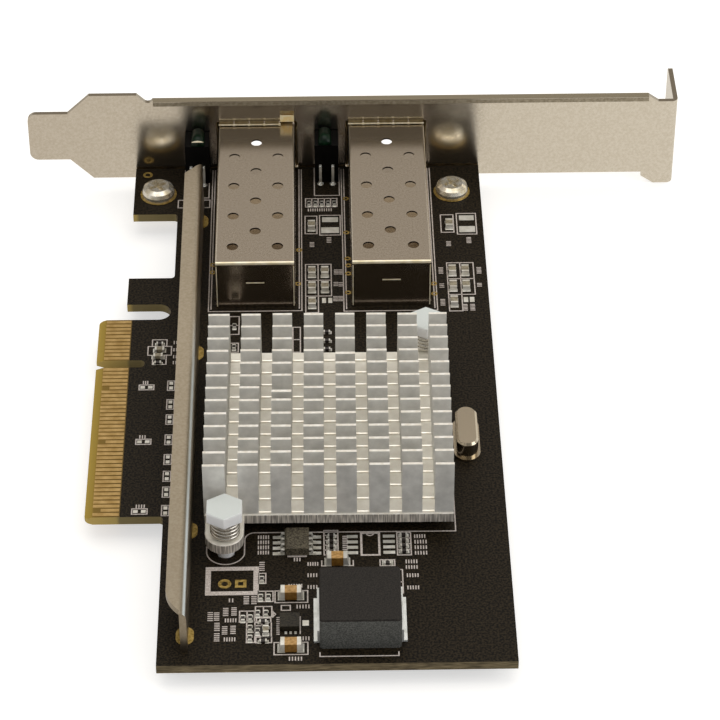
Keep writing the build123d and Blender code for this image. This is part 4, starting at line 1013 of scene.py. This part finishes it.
# Cage trim: the rear fold, the edges of the side walls behind the rear flap, the lanced tab, all pale as
# painted highlight
cageTrim = {
    "foldRadius": 0.42, "foldArc": (85, 185), "foldProud": 0.05, "foldInset": 0.15,
    "edgeWidth": 0.17, "edgeInset": 0.26,
    "edgeLow": 0.3, "edgeHigh": 9.1, "tabWidth": 3.2, "tabThickness": 0.2,
    "tabHeight": {"left": 5.45, "right": 5.85}, "sunk": 0.1,
}
trim = bmesh.new()
for side, (low, high) in cageBoxes.items():
    middle = (low.x + high.x) / 2
    rear, top = low.y, high.z
    radius, proud = cageTrim["foldRadius"], cageTrim["foldProud"]
    bead = arcPoints((rear + radius - proud, top - radius + proud), radius, *cageTrim["foldArc"], 8)
    bead += [(rear + cageTrim["sunk"], top - radius), (rear + radius, top - cageTrim["sunk"])]
    addPrism(trim, bead, middle - cageWidth / 2 + cageTrim["foldInset"],
             middle + cageWidth / 2 - cageTrim["foldInset"], axis=0)
    for way in (-1, 1):
        x = middle + way * (cageWidth / 2 - cageTrim["edgeInset"])
        half = cageTrim["edgeWidth"] / 2
        addBox(trim, (x - half, rear - proud, cageTrim["edgeLow"]),
               (x + half, rear + proud, cageTrim["edgeHigh"]), 1)
    z = cageTrim["tabHeight"][side]
    half = cageTrim["tabWidth"] / 2
    addBox(trim, (middle - half, rear - proud, z - cageTrim["tabThickness"] / 2),
           (middle + half, rear + proud, z + cageTrim["tabThickness"] / 2), 1)
newPiece("cageTrim", meshOf("cageTrim", trim), [foldHighlight, paleHighlightLine])
print("cage trim made")

# Bracket lip: the folded strip along the top, with its dull sheared edge towards the card
lip = {
    "start": 8.4, "end": 99.6, "front": 57.12, "back": 58.63, "low": 14.2, "frontTop": 15.0,
    "rise": 15.32, "backFlat": 58.3, "corner": 0.12,
}
lipShape = bmesh.new()
addPrism(lipShape, [(lip["front"], lip["low"]), (lip["front"], lip["frontTop"]),
                    (lip["front"] + lip["corner"], lip["frontTop"] + lip["corner"]),
                    (lip["backFlat"], lip["rise"]), (lip["back"], lip["frontTop"]),
                    (lip["back"], lip["low"])],
         lip["start"], lip["end"], axis=0)
newPiece("bracketLip", meshOf("bracketLip", lipShape), [shearedEdge])

# Lamps: the green epoxy crowns of the upper lamps, a painted highlight on the left crown, and the solder
# round the leads
lamp = {
    "crownRadius": 1.2, "crownNear": 52.75, "crownFar": 57.0, "sunk": 0.05,
    "crownShift": {"left": 0.2, "right": -0.3},
    "glintRadius": 2.3, "glintTop": 1.3, "glintArc": (61, 119), "glintProud": 0.1,
    "leadOnBoard": 1.0,  # lead pieces that reach over this height get solder
    "leadInset": 0.2, "beadDrop": 0.1,
    "blob": [(0.6, 0.02), (0.42, 0.16), (0.3, 0.42), (0, 0.5)],
    "bead": [(0.02, -0.1), (0.27, 0.0), (0.24, 0.2), (0, 0.32)],
}
crowns, beads = bmesh.new(), bmesh.new()
for side, shift in lamp["crownShift"].items():
    low, high = boxInMm("lamp_housing_" + side)
    centre = ((low.x + high.x) / 2 + shift, high.z - lamp["sunk"])
    addPrism(crowns, arcPoints(centre, lamp["crownRadius"], 0, 180, 16), lamp["crownNear"],
             lamp["crownFar"], axis=1)
    if side == "left":  # a painted highlight: a pale crescent at the front of the crown
        pivot = (centre[0], centre[1] + lamp["glintTop"] - lamp["glintRadius"])
        addPrism(crowns, arcPoints(pivot, lamp["glintRadius"], *lamp["glintArc"], 10),
                 lamp["crownNear"] - lamp["glintProud"], lamp["crownNear"] + lamp["glintProud"], 1,
                 axis=1)
for low, high in looseBoxes("lamp_lead_wires"):
    if high.z > lamp["leadOnBoard"]:
        centre = ((low.x + high.x) / 2, low.y + lamp["leadInset"])
        addTurned(beads, centre, lamp["blob"], 12)
        addTurned(beads, centre, [(r, z + high.z - lamp["beadDrop"]) for r, z in lamp["bead"]], 12)
newPiece("lampCrowns", meshOf("lampCrowns", crowns, True), [lensGreen, paleHighlightLine])
newPiece("leadSolder", meshOf("leadSolder", beads, True), [brightTin])
print("lip and lamp details made")

# Bare pads and gold lands on the board, all 0.03 mm high
land = {
    "thickness": 0.03, "tabColumn": 17.05, "tabRows": (40.7, 2.75, -42.6, -66.7),
    "ovalLength": 4.0, "ovalWidth": 2.8, "screwLand": 3.35, "ringRadius": 0.55,
    "soRow": -44.5, "soPitch": 1.27, "soCount": 4, "soPadWidth": 0.68,
    "soColumns": [(30.6, 32.6), (36.4, 38.34), (42.48, 44.24), (48.29, 50.17)],
    "barePads": [(39.19, 40.13, 42.1, 41.57), (39.0, 36.79, 42.24, 38.52),
                 (64.2, 40.2, 66.9, 41.7), (64.1, 36.6, 67.0, 38.4),
                 (35.3, -64.8, 36.3, -63.6), (48.0, -51.25, 48.7, -50.2),
                 (49.1, -51.25, 49.8, -50.2), (65.1, 16.1, 65.9, 17.5), (64.0, 16.1, 64.8, 17.5),
                 (39.0, 16.3, 39.7, 17.7), (40.1, 16.3, 40.8, 17.7)],
    "twoPadRows": [-6.37, -20.55, -37.85], "twoPadColumns": [8.25, 9.55],
    "stackCentres": [-6.0, -10.95, -14.9, -20.1, -25.1, -29.3, -33.2, -37.7], "stackX": 13.1,
    "vias": [(19.56, 27.7), (19.51, 25.5), (34.81, 21.9), (35.01, 31.8), (43.67, 29.1),
             (43.78, 27.1), (43.74, 24.7), (43.62, 19.2), (43.61, 47.3), (43.56, 36.9),
             (58.9, 21.5), (58.9, 18.6)],
    "holeShare": 0.5,  # of the radius, on every ring
    "lone": (6.9, 55.4, 0.9), "header": (24.3, -55.15), "headerPitch": 2.54, "headerLand": 1.05,
    "squareHalf": 0.65, "squareLine": 0.5,
    "qfnPads": [32.71, 33.46, 34.21], "qfnPadRow": -66.3,
    "halfSizes": {"twoPad": (0.38, 0.35), "stack": (0.32, 0.38), "qfn": (0.19, 0.3)},
    "stackStep": 0.62,
}


def oval(centre, length, width):  # stadium outline, long way along Y
    steps = 12
    radius = width / 2
    reach = length / 2 - radius
    upper = arcPoints((centre[0], centre[1] + reach), radius, 0, 180, steps)
    return upper + arcPoints((centre[0], centre[1] - reach), radius, 180, 360, steps)


goldShape = bmesh.new()
for y in land["tabRows"]:
    addPrism(goldShape, oval((land["tabColumn"], y), land["ovalLength"], land["ovalWidth"]), 0,
             land["thickness"])
headerX, headerY = land["header"]
squareX = headerX + land["headerPitch"] / 2
roundX = headerX - land["headerPitch"] / 2
goldMesh = meshOf("goldLands", goldShape, finishes=[padGold])
ringPlaces = [(x, y, land["ringRadius"]) for x, y in land["vias"]]
ringPlaces += [(*middleOf(box), land["screwLand"]) for box in looseBoxes("bracket_screws")]
ringPlaces += [(roundX, headerY, land["headerLand"]), land["lone"]]
squareLand = bmesh.new()
half = land["squareHalf"]
addRibbon(squareLand, [(squareX - half, headerY - half), (squareX + half, headerY - half),
                       (squareX + half, headerY + half), (squareX - half, headerY + half)],
          land["squareLine"], land["thickness"], True)
squareMesh = meshOf("squareLand", squareLand, finishes=[padGold])
ringMesh = flatRings(padGold, land["holeShare"], ringPlaces, land["thickness"])
newPiece("goldLands", joinedMesh("goldLands", [goldMesh, squareMesh, ringMesh], [padGold]), [padGold])

thick = land["thickness"]
padSpots = [((x0, y0, 0), (x1, y1, thick)) for x0, y0, x1, y1 in land["barePads"]]


def addPad(x, y, halfX, halfY):
    padSpots.append(((x - halfX, y - halfY, 0), (x + halfX, y + halfY, thick)))


for x0, x1 in land["soColumns"]:
    for row in range(land["soCount"]):
        addPad((x0 + x1) / 2, land["soRow"] - row * land["soPitch"], (x1 - x0) / 2,
               land["soPadWidth"] / 2)
for x in land["twoPadColumns"]:
    for y in land["twoPadRows"]:
        addPad(x, y, *land["halfSizes"]["twoPad"])
for y in land["stackCentres"]:
    for way in (-1, 1):
        addPad(land["stackX"], y + way * land["stackStep"], *land["halfSizes"]["stack"])
for x in land["qfnPads"]:
    addPad(x, land["qfnPadRow"], *land["halfSizes"]["qfn"])
newPiece("tinnedPads", blocks(tin, padSpots), [tin])
print("lands made:", len(padSpots), len(ringPlaces))

# Printed lines: outlines round the parts and the header frame
legend = {
    "lineWidth": 0.2, "thickness": 0.02,
    "boxes": [  # low x, low y, high x, high y
        (13.9, 48.0, 18.4, 56.6), (37.85, 48.35, 42.45, 57.0), (12.8, 45.0, 18.6, 47.35),
        (36.2, 44.82, 41.97, 47.41), (36.09, 36.64, 38.24, 42.01), (38.74, 36.18, 42.5, 42.19),
        (60.82, 36.63, 63.12, 41.95), (63.73, 36.01, 67.25, 42.31),
        (22.75, 7.74, 24.45, 12.74), (22.95, 2.84, 24.4, 5.31), (33.85, 2.63, 35.15, 9.54),
        (38.81, -48.75, 41.04, -42.97), (50.54, -48.97, 52.74, -43.7),
        (28.42, -55.14, 29.52, -52.82), (47.7, -51.41, 50.03, -50.04),
        (31.0, -59.56, 36.14, -56.9), (30.9, -71.09, 36.12, -68.43),
        (28.35, -59.29, 30.69, -56.93), (25.48, -63.81, 27.81, -61.37),
        (27.94, -62.72, 30.51, -60.39), (28.12, -63.97, 30.36, -62.96),
        (26.62, -68.37, 27.89, -63.79), (27.94, -66.94, 28.95, -64.66),
        (28.97, -67.19, 30.45, -64.0), (28.08, -68.42, 30.5, -67.2), (32.0, -61.3, 33.4, -60.2)],
    "lines": [
        [(19.0, 56.7), (19.0, 14.2), (35.44, 14.2), (35.44, 56.7)], [(19.45, 56.7), (19.45, 14.8)],
        [(35.0, 56.7), (35.0, 14.8)], [(42.85, 56.7), (42.85, 13.9), (59.3, 13.9), (59.3, 56.7)],
        [(43.3, 56.7), (43.3, 14.5)], [(58.85, 56.7), (58.85, 14.5)],
        [(22.75, 10.22), (24.45, 10.22)], [(33.85, 6.1), (35.15, 6.1)],
        [(39.2, -51.3), (38.41, -51.3), (38.41, -50.03)],
        [(42.6, -51.3), (43.43, -51.3), (43.43, -50.03)],
        [(50.5, -52.36), (51.2, -52.36), (51.2, -57.76), (50.5, -57.76)],
        [(50.5, -55.2), (51.2, -55.2)], [(29.52, -59.29), (29.52, -56.93)],
        [(26.65, -63.81), (26.65, -61.37)], [(29.2, -62.72), (29.2, -60.39)],
        [(26.62, -66.1), (27.89, -66.1)],
        [(37.98, -70.7), (37.98, -71.6), (50.13, -71.6), (50.13, -70.7)],
        [(34.95, -66.6), (34.95, -62.7)]],
    "cluster": [(9.5, 6.5), (12.0, 6.5), (12.0, 4.65), (12.85, 4.65), (12.85, 2.25),
                (12.0, 2.25), (12.0, -0.25), (9.7, -0.25), (9.7, 2.2), (8.8, 2.3),
                (8.8, 4.66), (9.5, 4.66)],
    "blockRows": (27.5, 22.84, 18.29, 13.6), "blockColumns": ((36.12, 38.36, 40.69),
                                                              (61.4, 63.74, 66.13)),
    "clusterBars": ((9.6, 11.9), (4.65, 2.25)),  # both ends in x, and each bar's y
    "stack": (12.5, 13.7, 2.5), "twoPad": (7.65, 10.15, 1.3),  # both ends in x, and the height
    "ladders": [(38.81, 5, -48.75, -42.97), (50.54, 4, -48.97, -43.7)],  # x, cells, both ends in y
    "ladderWidth": 2.2, "cells": (36.2, 1.154, 5, 44.82, 47.41),  # x, step, count, both ends in y
    "headerFrame": (20.4, -57.3, 28.0, -51.68), "headerFrameWidth": 0.86,
    "soOutline": (44.79, -48.87, 47.66, -43.7), "soWidth": 0.35, "soNotch": 0.6,
    "flashLine": (32.95, 36.03, -48.95, 0.38), "qfnTicks": 9, "qfnTickSpan": (-66.6, -62.9),
    "qfnTickSize": (31.25, 31.75, 0.11), "earLine": 3.08, "earEnd": 1.5, "bend": (27.7, 1.6),
    "lineSlope": 0.15, "sinkLineY": -43.3, "sinkLineX": 60.05, "sinkFarY": -2.0,
    "arrow": [(30.72, -62.7), (31.1, -62.16), (30.72, -61.6)],
}
silk = bmesh.new()


def printLine(points, closed=False, width=None):
    addRibbon(silk, points, width or legend["lineWidth"], legend["thickness"], closed)


def printBox(x0, y0, x1, y1, width=None):
    printLine([(x0, y0), (x1, y0), (x1, y1), (x0, y1)], True, width)


for box in legend["boxes"]:
    printBox(*box)
for line in legend["lines"]:
    printLine(line)
printLine(legend["cluster"], True)
low, high = legend["clusterBars"][0]
for y in legend["clusterBars"][1]:
    printLine([(low, y), (high, y)])
topRow, middleRow, lowRow, lastRow = legend["blockRows"]
for x0, x1, x2 in legend["blockColumns"]:
    printBox(x0, lowRow, x2, topRow)
    printLine([(x0, middleRow), (x2, middleRow)])
    printLine([(x1, topRow), (x1, lowRow)])
    printLine([(x0, lowRow), (x0, lastRow), (x1, lastRow), (x1, lowRow)])
for name, centres in (("stack", land["stackCentres"]), ("twoPad", land["twoPadRows"])):
    low, high, length = legend[name]
    for y in centres:
        printBox(low, y - length / 2, high, y + length / 2)
printBox(*legend["headerFrame"], legend["headerFrameWidth"])
x0, y0, x1, y1 = legend["soOutline"]
printBox(x0, y0, x1, y1, legend["soWidth"])
printLine(arcPoints(((x0 + x1) / 2, y1), legend["soNotch"], 180, 360, 8))
x0, x1, y, width = legend["flashLine"]
printLine([(x0, y), (x1, y)], width=width)
printLine(legend["arrow"], True)
for x, rows, start, end in legend["ladders"]:
    for row in range(1, rows):
        y = start + (end - start) * row / rows
        printLine([(x, y), (x + legend["ladderWidth"], y)])
first, pitch, count, low, high = legend["cells"]
for step in range(1, count):
    x = first + step * pitch
    printLine([(x, low), (x, high)])
nearBolt = boltPlaces[0]
bendX, bendRadius = legend["bend"]
sinkLine = [(nearBolt[0] - legend["earLine"], legend["sinkLineY"] + legend["earEnd"])]
sinkLine += arcPoints(nearBolt, legend["earLine"], 180, 345, 20)
sinkLine += arcPoints((bendX, legend["sinkLineY"] - bendRadius), bendRadius, 180, 90, 6)
sinkLine += [(legend["sinkLineX"], legend["sinkLineY"] - legend["lineSlope"]),
             (legend["sinkLineX"], legend["sinkFarY"])]
printLine(sinkLine)
silkMesh = meshOf("printedLines", silk, finishes=[ink])

# Rows of short plain ticks beside the parts
ticks = {
    "height": 0.85, "width": 0.2, "step": 0.42,
    "rows": [  # centre x, centre y, length, and 1 where the row runs along Y
        (34.5, -49.7, 1.3, 0), (37.0, -50.8, 1.9, 0), (36.9, -53.4, 1.8, 0), (36.9, -56.1, 1.8, 0),
        (34.2, -55.8, 2.4, 0), (35.4, -60.5, 2.3, 0), (35.4, -67.6, 2.2, 0), (34.2, -72.0, 2.3, 0),
        (24.1, -58.9, 1.0, 0), (29.1, -44.4, 2.0, 0), (29.1, -45.6, 2.0, 0), (29.1, -46.8, 2.0, 0),
        (29.1, -48.0, 2.0, 0), (28.9, -51.2, 2.3, 1), (26.5, -58.9, 2.0, 1), (27.7, -58.9, 2.0, 1),
        (23.3, -61.5, 2.0, 1), (24.6, -61.4, 2.0, 1), (24.1, -63.4, 2.0, 0), (20.9, -62.5, 2.2, 1),
        (21.9, -62.5, 2.0, 1), (22.0, -64.8, 2.0, 1), (22.0, -67.1, 2.0, 1), (23.2, -65.6, 2.0, 1),
        (24.5, -65.5, 2.0, 1), (24.0, -67.6, 2.0, 0), (8.7, -5.1, 1.1, 0), (8.7, -19.3, 1.3, 0),
        (9.0, -36.6, 1.7, 0), (13.5, 5.7, 0.9, 0), (13.5, 3.7, 0.9, 0), (13.5, 1.8, 0.9, 0),
        (13.5, 0.2, 0.9, 0), (41.6, 25.2, 1.6, 1), (42.5, 25.2, 1.6, 1), (41.5, 21.7, 1.4, 1),
        (42.4, 21.6, 1.4, 1), (41.4, 17.5, 1.6, 1), (42.3, 17.5, 1.6, 1), (37.3, 33.4, 1.6, 1),
        (40.4, 34.7, 1.8, 1), (38.8, 43.9, 4.6, 0), (54.2, -44.6, 2.0, 0), (54.3, -45.9, 2.2, 0),
        (54.3, -47.2, 2.2, 0), (54.3, -48.5, 2.2, 0), (52.7, -50.5, 2.1, 0), (52.7, -51.8, 2.1, 0),
        (52.8, -53.7, 2.1, 0), (52.8, -56.5, 2.1, 0), (65.7, 34.2, 1.9, 1), (62.0, 33.2, 1.6, 1),
        (60.3, 25.3, 2.0, 1), (67.1, 25.2, 2.0, 1), (60.3, 20.9, 1.4, 1), (67.0, 21.0, 1.2, 1),
        (60.3, 16.1, 2.0, 1), (64.2, 14.6, 2.0, 1), (65.5, 14.6, 2.0, 1), (42.2, -46.4, 4.4, 1)],
}
marks = []
for x, y, length, alongY in ticks["rows"]:
    count = max(2, round(length / ticks["step"]))
    for number in range(count):
        along = (number - (count - 1) / 2) * length / count
        place = (x, y + along) if alongY else (x + along, y)
        size = (ticks["height"], ticks["width"]) if alongY else (ticks["width"], ticks["height"])
        marks.append(((place[0] - size[0] / 2, place[1] - size[1] / 2, 0),
                      (place[0] + size[0] / 2, place[1] + size[1] / 2, legend["thickness"])))
start, end = legend["qfnTickSpan"]
left, right, half = legend["qfnTickSize"]
for number in range(legend["qfnTicks"]):
    y = start + (end - start) * number / (legend["qfnTicks"] - 1)
    marks.append(((left, y - half, 0), (right, y + half, legend["thickness"])))
newPiece("printedLines", joinedMesh("printedLines", [silkMesh, blocks(ink, marks)], [ink]), [ink])
print("printed lines made:", len(marks))
